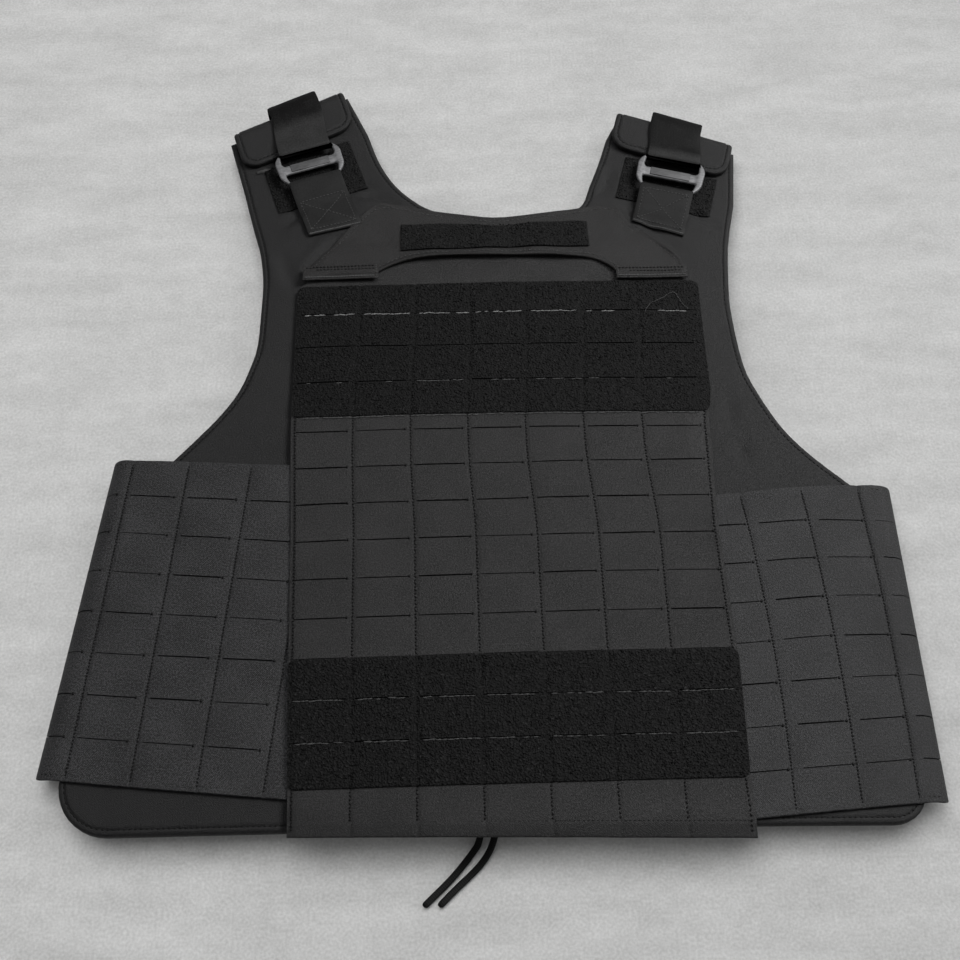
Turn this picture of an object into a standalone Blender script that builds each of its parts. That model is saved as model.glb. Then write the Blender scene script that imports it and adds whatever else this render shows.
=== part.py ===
"""Plate carrier vest with a laser-cut front flap, lying on its back.

The front faces up (+Z), the neck points to +Y, and the vest rests on z = 0. Left and right are as
seen from above. Sizes are in millimetres and become metres when each mesh is made. The flap's slit
grid gives the plan its middle: x = 0 between its seven columns, y = 0 at its first bare slit row.
"""

import math

import bmesh
import bpy
from mathutils import Vector

MM = 0.001
GAP = 0.3

# The slit grid, and where the middle of the vest's footprint lies in it.
COLUMN = 38.1
ROW = 25.4
COLUMNS = 7
FOOTPRINT_MIDDLE = (-15.2, 18.85)
SLIT_LENGTH = 31.6
SLIT_WIDTH = 1.2

# Wall thicknesses.
PANEL_THICK = 9.0
SHOULDER_THICK = 8.0
FOLD_THICK = 5.5
WING_THICK = 2.4
FLAP_THICK = 2.0
LOOP_THICK = 1.2
YOKE_THICK = 1.6
TAB_THICK = 1.2
PATCH_THICK = 1.0
WEBBING_THICK = 1.6
WEBBING_WIDE = 38.0

# Heights of the two padded panels over the floor, and the front panel's gentle dome.
BACK_UNDERSIDE = 2.7
FRONT_UNDERSIDE = 15.0
SHOULDER_DROP = 4.0
DOME_RISE = 7.0
DOME_HALF_WIDTH = 236.0
DOME_FADES = (90.0, 235.0)
SHOULDER_FADES = (-110.0, -38.0)
RIM = 4.0
RIM_FULLNESS = 0.36

# Plan of the panels, from the shoulder down the armhole to the hidden stretch under the wing.
LEFT_ARMHOLE = (
    (-181.0, 212.5), (-173.3, 182.0), (-165.6, 153.5), (-161.8, 127.5), (-161.8, 104.0),
    (-163.1, 74.0), (-167.0, 57.0), (-174.0, 38.0), (-185.0, 21.0), (-198.5, 5.0), (-215.0, -13.0),
    (-234.0, -33.0),
)
RIGHT_ARMHOLE = (
    (174.4, 187.0), (165.1, 147.0), (160.8, 110.0), (160.4, 86.0), (163.5, 48.6),
    (169.9, 28.0), (183.1, 1.0), (199.9, -20.2), (222.8, -42.0),
)
NECK = (
    (-90.5, 260.0), (-81.2, 231.0), (-69.5, 208.0), (-56.5, 193.0), (-43.0, 183.5),
    (-22.0, 178.5), (0.0, 174.8), (25.0, 177.0), (54.0, 180.5), (64.5, 188.0), (71.0, 206.0),
    (79.0, 227.5), (86.3, 250.0),
)
# Where each side runs down to its rounded lower corner.
LEFT_SIDE_TOP = (-250.0, -62.0)
LEFT_CORNER = (-268.5, -253.0)
LEFT_CORNER_RADIUS = 31.0
RIGHT_SIDE_TOP = (237.0, -68.0)
RIGHT_CORNER = (236.5, -259.5)
RIGHT_CORNER_RADIUS = 21.0

# Each shoulder: middle of the fold, the way the fold line runs, how the turned flap leans, and where
# the front panel's own straight end runs across it.
SHOULDERS = {
    "left": {"fold": (-145.9, 272.6), "turn": 26.5, "lean": -0.16, "drop": 28.0, "front_end": (-47.0, 46.0)},
    "right": {"fold": (134.1, 248.8), "turn": -22.4, "lean": 0.12, "drop": 24.5, "front_end": (-43.0, 48.0)},
}
TURNED_HALF = 44.6
TURNED_CORNER = 13.0
TURNED_ROOT = -12.0
TURNED_STEPS = 6
SHOULDERS_START = 200.0
FRONT_END = 3.4
FOLD_CENTRE_Z = 13.75
FOLD_MIDDLE_RADIUS = 8.3

# Each strap: middle of the buckle, the way its bars run, and the slant of the strap's fold.
STRAPS = {
    "left": {"buckle": (-131.0, 219.1), "turn": 17.3, "slant": 0.15, "fold_at": 55.5, "reach": 19.0,
             "keeper_end": -51.0, "tuck": 6.0},
    "right": {"buckle": (128.0, 204.6), "turn": -15.5, "slant": -0.11, "fold_at": 45.0, "reach": 17.0,
              "keeper_end": -44.5, "tuck": 0.8},
}
STRAP_BACK_END = -38.0
KEEPER_SEWN = 38.0

# The three-bar buckle, in its own plan: x across the strap, y along it.
BUCKLE_WIDE = 49.0
BUCKLE_TOP = 17.5
BUCKLE_FOOT = -17.0
BUCKLE_CORNER = 7.0
BUCKLE_THICK = 2.6
BUCKLE_EDGE = 1.0
BUCKLE_Z = 26.5
SLOT_WIDE = 40.0
UPPER_SLOT = (3.75, 13.1)
LOWER_SLOT = (-12.6, -3.75)
SLOT_CORNER = 1.2
UPPER_BAR = (UPPER_SLOT[1] + BUCKLE_TOP) / 2
LOWER_BAR = (LOWER_SLOT[0] + BUCKLE_FOOT) / 2

# The wings: fold line, inner ends of the front leg, inner ends of the back leg (top, then bottom).
WINGS = {
    "left": {"fold": ((-253.3, -14.5), (-279.4, -220.0)), "front": ((-60.0, -17.6), (-60.0, -243.0)),
             "back": ((-88.0, -15.0), (-98.0, -221.0)), "side": -1, "line_at": 17.0},
    "right": {"fold": ((248.8, -46.5), (249.0, -249.0)), "front": ((60.0, -50.0), (60.0, -259.5)),
              "back": ((92.0, -46.5), (92.0, -249.0)), "side": 1, "line_at": 21.0},
}
WING_ROWS = 7
WING_SLIT_COLUMNS = 2
WING_CREST = 12.8
WING_FRONT_LINES = (30.0, 60.0)
WING_FOLD_STEPS = 8

# The flap's outline: y, then the x of its left and right edge. Its hem runs down to the right.
FLAP_EDGES = (
    (140.0, -139.8, 139.8), (112.0, -139.0, 138.9), (5.0, -137.0, 134.8), (-70.0, -135.0, 132.4),
    (-155.0, -133.5, 134.8), (-228.0, -131.3, 133.2), (-259.5, -130.8, 134.2),
)
FLAP_TOP = 140.0
FLAP_HEM = -259.5
FLAP_HEM_SLOPE = -0.027
FLAP_SETTLES = (-10.0, 40.0)
FLAP_BENDS = (112.0, 20.0)
FLAP_HALF = COLUMNS * COLUMN / 2 + 1.0
UPPER_ROWS = (87.7, 62.3, 36.9)
LOWER_ROWS = tuple(-ROW * row for row in range(10))
UPPER_LOOP = (8.5, 112.5)
UPPER_LOOP_INSET = 0.4
LOWER_LOOP = (-229.8, -152.6)

# The yoke's outline: up the left side, along the neckline, down the right side, back along the hem.
YOKE_LEFT = ((-131.0, 125.0), (-126.5, 137.0), (-96.6, 174.0), (-88.0, 184.4), (-79.0, 188.0), (-62.0, 185.2))
YOKE_NECK = ((-46.0, 180.5), (-22.0, 176.3), (0.0, 172.8), (25.0, 175.0), (53.0, 178.6))
YOKE_RIGHT = ((74.0, 183.4), (87.5, 181.0), (96.2, 165.6), (108.5, 154.5), (128.5, 130.0), (131.0, 114.0))
YOKE_HEM = ((80.0, 116.0), (75.0, 124.0), (64.0, 131.0), (44.0, 134.0), (3.0, 136.0), (-25.0, 137.3),
            (-52.0, 136.5), (-66.0, 132.6), (-77.0, 127.5))
YOKE_ARCH_LIFT = 2.2
YOKE_ARCH_SPAN = (40.0, 78.0)
YOKE_ARCH_DEPTH = (134.0, 158.0)
YOKE_STEPS_DOWN = (142.0, 158.0)
YOKE_X_LINES = (-110.0, -90.0, -78.0, -66.0, -40.0, -20.0, 0.0, 20.0, 40.0, 66.0, 78.0, 90.0, 110.0)
YOKE_Y_LINES = (128.0, 134.0, 140.0, 146.0, 152.0, 158.0, 168.0)
NAME_STRIP = ((-65.5, 142.3), (65.6, 166.6))
TABS = {"left": ((-134.5, 121.8), (-75.0, 134.2)), "right": ((79.0, 111.4), (134.0, 121.2))}

# The loop fields on the shoulders, in each strap's own plan.
PATCHES = {"left": ((-31.0, -26.5), (35.0, 18.0)), "right": ((-31.0, -21.5), (33.0, 13.0))}

# The two drawcords: points on their middle lines, from the hem to the bare end on the floor.
CORD_THICK = 4.0
DRAWCORDS = {
    "left": ((-23.0, -257.6, 6.8), (-24.0, -259.6, 6.0), (-27.2, -262.8, 4.5), (-32.4, -268.8, 2.8),
             (-39.3, -276.2, 2.1), (-47.2, -283.1, 2.1), (-54.1, -287.9, 2.1)),
    "right": ((-15.0, -257.5, 6.8), (-15.6, -259.6, 6.0), (-17.6, -262.8, 4.5), (-22.1, -268.6, 2.8),
              (-28.8, -275.0, 2.1), (-36.6, -281.2, 2.1), (-45.7, -288.1, 2.1)),
}
CORD_PIECES = 3


def clear_scene():
    for thing in list(bpy.data.objects):
        bpy.data.objects.remove(thing)


def material(name, colour, roughness, metallic=0.0):
    finish = bpy.data.materials.new(name)
    finish.use_nodes = True
    shader = finish.node_tree.nodes["Principled BSDF"]
    shader.inputs["Base Color"].default_value = (*colour, 1.0)
    shader.inputs["Roughness"].default_value = roughness
    shader.inputs["Metallic"].default_value = metallic
    finish.diffuse_color = (*colour, 1.0)
    return finish


def ease(value, start, end):
    """0 at start, 1 at end, with no corner at either."""
    part = min(1.0, max(0.0, (value - start) / (end - start)))
    return part * part * (3.0 - 2.0 * part)


def table_value(rows, at, column):
    """Reads a falling table at one y, straight between its rows."""
    for high, low in zip(rows, rows[1:]):
        if at >= low[0]:
            part = min(1.0, (high[0] - at) / (high[0] - low[0]))
            return high[column] + part * (low[column] - high[column])
    return rows[-1][column]


def smooth_line(points, pieces):
    """A Catmull-Rom curve through the points."""
    ends = [points[0], *points, points[-1]]
    line = []
    for a, b, c, d in zip(ends, ends[1:], ends[2:], ends[3:]):
        for piece in range(pieces):
            t = piece / pieces
            line.append(tuple(
                0.5 * (2 * q + (r - p) * t + (2 * p - 5 * q + 4 * r - s) * t**2 + (3 * q - p - 3 * r + s) * t**3)
                for p, q, r, s in zip(a, b, c, d)
            ))
    line.append(tuple(points[-1]))
    return line


def corner_arc(before, corner, after, radius, pieces):
    """A rounded corner between two straight sides."""
    corner = Vector(corner)
    first = (Vector(before) - corner).normalized()
    second = (Vector(after) - corner).normalized()
    half = first.angle(second) / 2
    middle = corner + (first + second).normalized() * radius / math.sin(half)
    start = corner + first * radius / math.tan(half) - middle
    end = corner + second * radius / math.tan(half) - middle
    sweep = start.angle_signed(end)
    turned = []
    for piece in range(pieces + 1):
        angle = -sweep * piece / pieces
        turned.append((
            middle.x + start.x * math.cos(angle) - start.y * math.sin(angle),
            middle.y + start.x * math.sin(angle) + start.y * math.cos(angle),
        ))
    return turned


def local_to_plan(origin, turn, u, v):
    angle = math.radians(turn)
    return (
        origin[0] + u * math.cos(angle) - v * math.sin(angle),
        origin[1] + u * math.sin(angle) + v * math.cos(angle),
    )


def plan_to_local(origin, turn, x, y):
    return local_to_plan((0.0, 0.0), -turn, x - origin[0], y - origin[1])


def up_shoulder(x, y):
    """0 down on the chest, 1 from just below the shoulder's turned flap upward."""
    shoulder = SHOULDERS["left" if x < 0.0 else "right"]
    return ease(plan_to_local(shoulder["fold"], shoulder["turn"], x, y)[1], *SHOULDER_FADES)


def back_thick(x, y):
    return PANEL_THICK - (PANEL_THICK - FOLD_THICK) * up_shoulder(x, y)


def front_thick(x, y):
    return PANEL_THICK - (PANEL_THICK - SHOULDER_THICK) * up_shoulder(x, y)


def front_under(x, y):
    level = 1.0 - up_shoulder(x, y)
    dome = DOME_RISE * max(0.0, 1.0 - (x / DOME_HALF_WIDTH) ** 2) * (1.0 - ease(y, *DOME_FADES))
    return FRONT_UNDERSIDE - SHOULDER_DROP * (1.0 - level) + dome * level


def front_top(x, y):
    return front_under(x, y) + front_thick(x, y)


def flap_under(x, y):
    """The flap lies on the wings below, and comes down on the panel above them."""
    return front_top(x, y) + GAP + (WING_THICK + GAP) * (1.0 - ease(y, *FLAP_SETTLES))


def flap_top(x, y):
    return flap_under(x, y) + FLAP_THICK


def yoke_under(x, y):
    over_flap = (FLAP_THICK + GAP) * (1.0 - ease(y, *YOKE_STEPS_DOWN))
    arch = YOKE_ARCH_LIFT * (1.0 - ease(abs(x), *YOKE_ARCH_SPAN)) * (1.0 - ease(y, *YOKE_ARCH_DEPTH))
    return front_top(x, y) + 2 * GAP + over_flap + arch


def yoke_top(x, y):
    return yoke_under(x, y) + YOKE_THICK


def new_sheet(outline):
    mesh = bmesh.new()
    mesh.faces.new([mesh.verts.new((x, y, 0.0)) for x, y in outline])
    bmesh.ops.recalc_face_normals(mesh, faces=mesh.faces)
    return mesh


def rectangle(low, high):
    return [low, (high[0], low[1]), high, (low[0], high[1])]


def cut_lines(mesh, along, places):
    """Cuts the flat sheet at each place on the x (0) or y (1) axis."""
    normal = (1.0, 0.0, 0.0) if along == 0 else (0.0, 1.0, 0.0)
    for place in places:
        point = [place * part for part in normal]
        geometry = [*mesh.verts, *mesh.edges, *mesh.faces]
        bmesh.ops.bisect_plane(mesh, geom=geometry, dist=1e-4, plane_co=point, plane_no=normal)


def steps(start, end, most):
    count = max(1, math.ceil((end - start) / most))
    return [start + (end - start) * step / count for step in range(1, count)]


def open_slits(mesh, slits):
    """Takes out the faces of the flat sheet that lie inside a slit, given as (x0, x1, y0, y1)."""
    gone = []
    for face in mesh.faces:
        x, y, _ = face.calc_center_median()
        if any(x0 < x < x1 and y0 < y < y1 for x0, x1, y0, y1 in slits):
            gone.append(face)
    bmesh.ops.delete(mesh, geom=gone, context="FACES")


def add_rim(mesh, width):
    """A ring of faces along the outline; z is 0 on the outline and 1 inside it until the sheet is shaped."""
    bmesh.ops.inset_region(mesh, faces=mesh.faces[:], thickness=width, use_even_offset=True, use_boundary=True)
    for vert in mesh.verts:
        vert.co.z = 0.0 if vert.is_boundary else 1.0


def thicken(mesh, place):
    """Makes the flat sheet a closed solid: place(x, y, fullness, side) gives each corner, side 0 below, 1 above."""
    grown = bmesh.ops.extrude_face_region(mesh, geom=mesh.faces[:])
    above = {item for item in grown["geom"] if isinstance(item, bmesh.types.BMVert)}
    for vert in mesh.verts:
        vert.co = place(*vert.co, 1 if vert in above else 0)


def finish(name, mesh, look, parent):
    bmesh.ops.triangulate(mesh, faces=mesh.faces[:])
    bmesh.ops.recalc_face_normals(mesh, faces=mesh.faces)
    for vert in mesh.verts:
        vert.co = [(co - middle) * MM for co, middle in zip(vert.co, (*FOOTPRINT_MIDDLE, 0.0))]
    data = bpy.data.meshes.new(name)
    mesh.to_mesh(data)
    mesh.free()
    data.shade_smooth()
    data.set_sharp_from_angle(angle=math.radians(35.0))
    data.materials.append(look)
    thing = bpy.data.objects.new(name, data)
    thing.parent = parent
    bpy.context.scene.collection.objects.link(thing)
    return thing


def fullness_levels(fullness, low, high):
    """The lower and upper height of a padded wall whose edge is thinner than its middle."""
    margin = (high - low) * (1.0 - RIM_FULLNESS) / 2 * (1.0 - fullness)
    return low + margin, high - margin


def front_end(side):
    """The front panel's straight end at this shoulder, left to right."""
    shoulder = SHOULDERS[side]
    return [local_to_plan(shoulder["fold"], shoulder["turn"], u, FRONT_END) for u in shoulder["front_end"]]


def lower_outline():
    """Both panels share it: from the end of the right armhole round the hem to the left armhole."""
    right = corner_arc(RIGHT_SIDE_TOP, RIGHT_CORNER, LEFT_CORNER, RIGHT_CORNER_RADIUS, 5)
    left = corner_arc(RIGHT_CORNER, LEFT_CORNER, LEFT_SIDE_TOP, LEFT_CORNER_RADIUS, 6)
    return [RIGHT_SIDE_TOP, *right, *left, LEFT_SIDE_TOP]


def sheet_lines(mesh):
    """Lets the flat panel bend: wide steps over the body, narrow ones where it rises to the shoulders."""
    cut_lines(mesh, 1, [-220.0, *steps(-220.0, 60.0, 35.0), 60.0, 90.0, 110.0, 130.0, 148.0, 165.0])
    cut_lines(mesh, 1, [180.0, *steps(180.0, 240.0, 15.0), 240.0])
    cut_lines(mesh, 0, [-236.0, *steps(-236.0, 200.0, 36.0), 200.0])


def front_outline():
    return [
        *front_end("left"), *smooth_line(NECK, 2), *front_end("right"), *RIGHT_ARMHOLE, *lower_outline(),
        *LEFT_ARMHOLE[::-1],
    ]


def make_front_panel(look, parent):
    mesh = new_sheet(front_outline())
    add_rim(mesh, RIM)
    sheet_lines(mesh)

    def place(x, y, fullness, side):
        return x, y, fullness_levels(fullness, front_under(x, y), front_top(x, y))[side]

    thicken(mesh, place)
    finish("front_panel", mesh, look, parent)


def turned_flap(side):
    """The unrolled shoulder flap, in plan, from its left side round its rounded end to its right side."""
    shoulder = SHOULDERS[side]
    half = TURNED_HALF
    length = math.pi * FOLD_MIDDLE_RADIUS + shoulder["drop"]
    root, low = (-half, TURNED_ROOT), (-half, length)
    high, end = (half, length), (half, TURNED_ROOT)
    lower = corner_arc(root, low, high, TURNED_CORNER, 4)
    upper = corner_arc(low, high, end, TURNED_CORNER, 4)
    line = [root, (-half, 0.0), *lower, *upper, (half, 0.0), end]
    return [local_to_plan(shoulder["fold"], shoulder["turn"], u, v) for u, v in line]


def back_outline():
    return [
        *turned_flap("left"), *smooth_line(NECK, 2), *turned_flap("right"), *RIGHT_ARMHOLE, *lower_outline(),
        *LEFT_ARMHOLE[::-1],
    ]


def fold_over(side, x, y, z):
    """Bends what lies past the fold line up and over, about the fold's middle height."""
    shoulder = SHOULDERS[side]
    u, v = plan_to_local(shoulder["fold"], shoulder["turn"], x, y)
    if v <= 0.0:
        return x, y, z
    radius = FOLD_CENTRE_Z - z
    bend = min(math.pi, v / FOLD_MIDDLE_RADIUS)
    rest = v - bend * FOLD_MIDDLE_RADIUS
    u += shoulder["lean"] * (v - math.pi * FOLD_MIDDLE_RADIUS / 2) * ease(v, 0.0, math.pi * FOLD_MIDDLE_RADIUS)
    x, y = local_to_plan(shoulder["fold"], shoulder["turn"], u, radius * math.sin(bend) - rest)
    return x, y, FOLD_CENTRE_Z - radius * math.cos(bend)


def cut_turned_flap(mesh, side):
    """Lines across one shoulder's flap, close together where it bends over."""
    shoulder = SHOULDERS[side]
    turn = math.radians(shoulder["turn"])
    along = (-math.sin(turn), math.cos(turn), 0.0)
    arc = [math.pi * FOLD_MIDDLE_RADIUS * step / TURNED_STEPS for step in range(TURNED_STEPS + 1)]
    for v in [*arc, arc[-1] + shoulder["drop"] / 2]:
        point = (*local_to_plan(shoulder["fold"], shoulder["turn"], 0.0, v), 0.0)
        near = [face for face in mesh.faces if face.calc_center_median().y > SHOULDERS_START
                and (face.calc_center_median().x < 0.0) == (side == "left")]
        edges = {edge for face in near for edge in face.edges}
        corners = {vert for face in near for vert in face.verts}
        bmesh.ops.bisect_plane(mesh, geom=[*corners, *edges, *near], dist=1e-4, plane_co=point, plane_no=along)


def make_back_panel(look, parent):
    mesh = new_sheet(back_outline())
    add_rim(mesh, RIM)
    sheet_lines(mesh)
    for side in ("left", "right"):
        cut_turned_flap(mesh, side)

    def place(x, y, fullness, side):
        z = fullness_levels(fullness, BACK_UNDERSIDE, BACK_UNDERSIDE + back_thick(x, y))[side]
        return fold_over("left" if x < 0.0 else "right", x, y, z)

    thicken(mesh, place)
    finish("back_panel", mesh, look, parent)


def wing_place(side, p, q, up, lengths):
    """Carries the unrolled wing round its fold: p runs from under the flap to under the back, q from top to hem."""
    wing = WINGS[side]
    fold, front, back = (Vector(row[0]).lerp(Vector(row[1]), q) for row in (wing["fold"], wing["front"], wing["back"]))
    slope = (Vector(wing["fold"][1]) - Vector(wing["fold"][0])).normalized()
    outward = Vector((slope.y, -slope.x)) * -wing["side"]
    axis = fold - outward * WING_CREST
    centre_z = (FRONT_UNDERSIDE + PANEL_THICK + GAP + WING_THICK) / 2
    outer = WING_THICK * (1.0 - up)
    front_length, arc_length, back_length = lengths
    if p < front_length:
        spot = front.lerp(axis, p / front_length)
        return spot.x, spot.y, front_top(spot.x, spot.y) + GAP + WING_THICK - outer
    radius = centre_z - outer
    if p <= front_length + arc_length:
        bend = (p - front_length) / arc_length * math.pi
        spot = axis + outward * radius * math.sin(bend)
        return spot.x, spot.y, centre_z + radius * math.cos(bend)
    spot = axis.lerp(back, (p - front_length - arc_length) / back_length)
    return spot.x, spot.y, outer


def make_wing(side, look, parent):
    wing = WINGS[side]
    fold_x, front_x, back_x = (sum(point[0] for point in wing[row]) / 2 for row in ("fold", "front", "back"))
    crest = WING_CREST
    front_length = abs(fold_x - front_x) - crest
    back_length = abs(fold_x - back_x) - crest
    arc_length = math.pi * (FRONT_UNDERSIDE + PANEL_THICK + GAP) / 2
    lengths = (front_length, arc_length, back_length)
    height = ROW * (WING_ROWS + 1)
    mesh = new_sheet(rectangle((0.0, 0.0), (sum(lengths), height)))
    first_line = front_length + crest - wing["line_at"]
    margin = (COLUMN - SLIT_LENGTH) / 2
    slits = []
    for column in range(WING_SLIT_COLUMNS):
        start = first_line - COLUMN * (column + 1) + margin
        for row in range(WING_ROWS):
            level = ROW * (row + 1)
            slits.append((start, start + SLIT_LENGTH, level - SLIT_WIDTH / 2, level + SLIT_WIDTH / 2))
    cut_lines(mesh, 0, sorted({x for slit in slits for x in slit[:2]}))
    cut_lines(mesh, 1, sorted({y for slit in slits for y in slit[2:]}))
    cut_lines(mesh, 0, [*WING_FRONT_LINES, front_length])
    cut_lines(mesh, 0, [front_length + arc_length * (step + 1) / WING_FOLD_STEPS for step in range(WING_FOLD_STEPS)])
    open_slits(mesh, slits)

    def place(x, y, _, up):
        return wing_place(side, x, y / height, up, lengths)

    thicken(mesh, place)
    finish(f"cummerbund_{side}", mesh, look, parent)


def flap_slits(rows):
    margin = (COLUMN - SLIT_LENGTH) / 2
    starts = [(column - COLUMNS / 2) * COLUMN + margin for column in range(COLUMNS)]
    return [(x, x + SLIT_LENGTH, y - SLIT_WIDTH / 2, y + SLIT_WIDTH / 2) for y in rows for x in starts]


def follow_edges(x, y):
    """Carries a straight-sided sheet's outer corners to the flap's edges."""
    if abs(x) < FLAP_HALF - 0.01:
        return x
    return table_value(FLAP_EDGES, y, 1 if x < 0.0 else 2)


def make_flap(look, parent):
    slits = flap_slits([*UPPER_ROWS, *LOWER_ROWS])
    mesh = new_sheet(rectangle((-FLAP_HALF, FLAP_HEM), (FLAP_HALF, FLAP_TOP)))
    cut_lines(mesh, 0, sorted({x for slit in slits for x in slit[:2]}))
    cut_lines(mesh, 1, sorted({y for slit in slits for y in slit[2:]}))
    cut_lines(mesh, 1, FLAP_BENDS)
    open_slits(mesh, slits)

    def place(x, y, _, side):
        x = follow_edges(x, y)
        if y < FLAP_HEM + 0.01:
            y += FLAP_HEM_SLOPE * x
        return x, y, flap_under(x, y) + FLAP_THICK * side

    thicken(mesh, place)
    finish("molle_flap", mesh, look, parent)


def make_loop_field(name, low, high, rows, inset, look, parent):
    slits = flap_slits(rows)
    mesh = new_sheet(rectangle((-FLAP_HALF, low), (FLAP_HALF, high)))
    cut_lines(mesh, 0, sorted({x for slit in slits for x in slit[:2]}))
    cut_lines(mesh, 1, sorted({y for slit in slits for y in slit[2:]}))
    cut_lines(mesh, 1, [bend for bend in FLAP_BENDS if low < bend < high])
    open_slits(mesh, slits)

    def place(x, y, _, side):
        edge = follow_edges(x, y)
        x = edge - math.copysign(inset, edge) if edge != x else x
        return x, y, flap_top(x, y) + GAP + LOOP_THICK * side

    thicken(mesh, place)
    finish(name, mesh, look, parent)


def make_yoke(look, parent):
    neck = smooth_line(YOKE_NECK, 2)
    hem = smooth_line(YOKE_HEM, 1)
    mesh = new_sheet([*YOKE_LEFT, *neck, *YOKE_RIGHT, *hem])
    cut_lines(mesh, 0, YOKE_X_LINES)
    cut_lines(mesh, 1, YOKE_Y_LINES)

    def place(x, y, _, side):
        return x, y, yoke_under(x, y) + YOKE_THICK * side

    thicken(mesh, place)
    finish("chest_yoke", mesh, look, parent)


def make_yoke_piece(name, low, high, thick, look, parent):
    """A flat strip sewn on the yoke: the name strip, or a corner tab."""
    mesh = new_sheet(rectangle(low, high))
    cut_lines(mesh, 0, [x for x in YOKE_X_LINES if low[0] < x < high[0]])
    cut_lines(mesh, 1, [y for y in YOKE_Y_LINES if low[1] < y < high[1]])

    def place(x, y, _, side):
        return x, y, yoke_top(x, y) + 2 * GAP + thick * side

    thicken(mesh, place)
    finish(name, mesh, look, parent)


def make_patch(side, look, parent):
    strap = STRAPS[side]
    low, high = PATCHES[side]
    mesh = new_sheet(rectangle(low, high))
    cut_lines(mesh, 0, [0.0])
    cut_lines(mesh, 1, [-10.0, 8.0])

    def place(u, v, _, above):
        x, y = local_to_plan(strap["buckle"], strap["turn"], u, v)
        return x, y, front_top(x, y) + GAP + PATCH_THICK * above

    thicken(mesh, place)
    finish(f"shoulder_loop_{side}", mesh, look, parent)


def ribbon(name, path, place, look, parent):
    """Webbing along a path of (v, z), as wide as the webbing; place(u, v, z) sets each corner."""
    mesh = bmesh.new()
    points = [Vector(point) for point in path]
    sides = ([], [])
    for index, point in enumerate(points):
        before = points[max(index - 1, 0)]
        after = points[min(index + 1, len(points) - 1)]
        ahead = (after - before).normalized()
        normal = Vector((-ahead.y, ahead.x))
        stretch = 1.0
        if 0 < index < len(points) - 1:
            stretch = 1.0 / max(0.5, math.cos((point - before).angle(after - point) / 2))
        for sign, line in zip((-0.5, 0.5), sides):
            line.append(point + normal * WEBBING_THICK * sign * stretch)
    loop = [*sides[0], *reversed(sides[1])]
    mesh.faces.new([mesh.verts.new((-WEBBING_WIDE / 2, v, z)) for v, z in loop])
    grown = bmesh.ops.extrude_face_region(mesh, geom=mesh.faces[:])
    far = [item for item in grown["geom"] if isinstance(item, bmesh.types.BMVert)]
    bmesh.ops.translate(mesh, verts=far, vec=(WEBBING_WIDE, 0.0, 0.0))
    for vert in mesh.verts:
        vert.co = place(*vert.co)
    finish(name, mesh, look, parent)


def turn_round(centre, radius, start, end, pieces):
    """Points on an arc in (v, z), angles in degrees."""
    angles = [math.radians(start + (end - start) * piece / pieces) for piece in range(pieces + 1)]
    return [(centre[0] + radius[0] * math.cos(angle), centre[1] + radius[1] * math.sin(angle)) for angle in angles]


def bar_wrap(edge, slot):
    """Half width and half height of the webbing's middle line round a bar."""
    clear = GAP + WEBBING_THICK / 2
    return abs(edge - slot) / 2 + clear, BUCKLE_THICK / 2 + clear


def make_strap(side, look, parent):
    """From under the back panel, loosely round the shoulder, over the buckle's upper bar and back under itself."""
    strap = STRAPS[side]
    floor_z = WEBBING_THICK / 2
    leg_z = FOLD_CENTRE_Z * 2 - BACK_UNDERSIDE + GAP + WEBBING_THICK / 2 + 0.5
    wrap = bar_wrap(BUCKLE_TOP, UPPER_SLOT[1])
    fold = strap["fold_at"]
    path = [(STRAP_BACK_END, floor_z), (fold / 2, floor_z)]
    path += turn_round((fold, (floor_z + leg_z) / 2), (strap["reach"], (leg_z - floor_z) / 2), -90.0, 90.0, 12)
    path += [(fold - 18.0, leg_z + 0.5), (BUCKLE_TOP + 0.5, BUCKLE_Z + wrap[1])]
    path += turn_round((UPPER_BAR, BUCKLE_Z), wrap, 90.0, 270.0, 8)
    path += [(UPPER_BAR + strap["tuck"], BUCKLE_Z - wrap[1])]

    def place(u, v, z):
        v += u * strap["slant"] * ease(v, 24.0, fold)
        return (*local_to_plan(strap["buckle"], strap["turn"], u, v), z)

    ribbon(f"shoulder_strap_{side}", path, place, look, parent)


def make_keeper(side, look, parent):
    """Two layers sewn to the front panel, round the buckle's lower bar."""
    strap = STRAPS[side]
    wrap = bar_wrap(BUCKLE_FOOT, LOWER_SLOT[0])
    patch_end = -PATCHES[side][0][1]
    bar_side = BUCKLE_FOOT - 0.5

    def seat(v):
        over_patch = (PATCH_THICK + GAP) * (1.0 - ease(-v, patch_end, patch_end + 6.0))
        return front_top(*local_to_plan(strap["buckle"], strap["turn"], 0.0, v)) + 2 * GAP + over_patch

    def lower(v):
        return seat(v) + WEBBING_THICK / 2

    def upper(v):
        sewn = lower(v) + WEBBING_THICK + GAP
        top = BUCKLE_Z + wrap[1]
        return sewn + (top - sewn) * (1.0 - ease(-v, -bar_side, KEEPER_SEWN))

    end = strap["keeper_end"]
    places = [end, *steps(end, bar_side - 4.0, 5.0), bar_side - 4.0]
    path = [(v, lower(v)) for v in places]
    path += turn_round((LOWER_BAR, BUCKLE_Z), wrap, -90.0, 90.0, 8)
    path += [(bar_side, BUCKLE_Z + wrap[1])]
    path += [(v, upper(v)) for v in reversed(places)]

    def place(u, v, z):
        x, y = local_to_plan(strap["buckle"], strap["turn"], u, v)
        middle = local_to_plan(strap["buckle"], strap["turn"], 0.0, v)
        return x, y, z + (front_top(x, y) - front_top(*middle)) * ease(-v, 14.0, 24.0)

    ribbon(f"keeper_{side}", path, place, look, parent)


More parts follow.
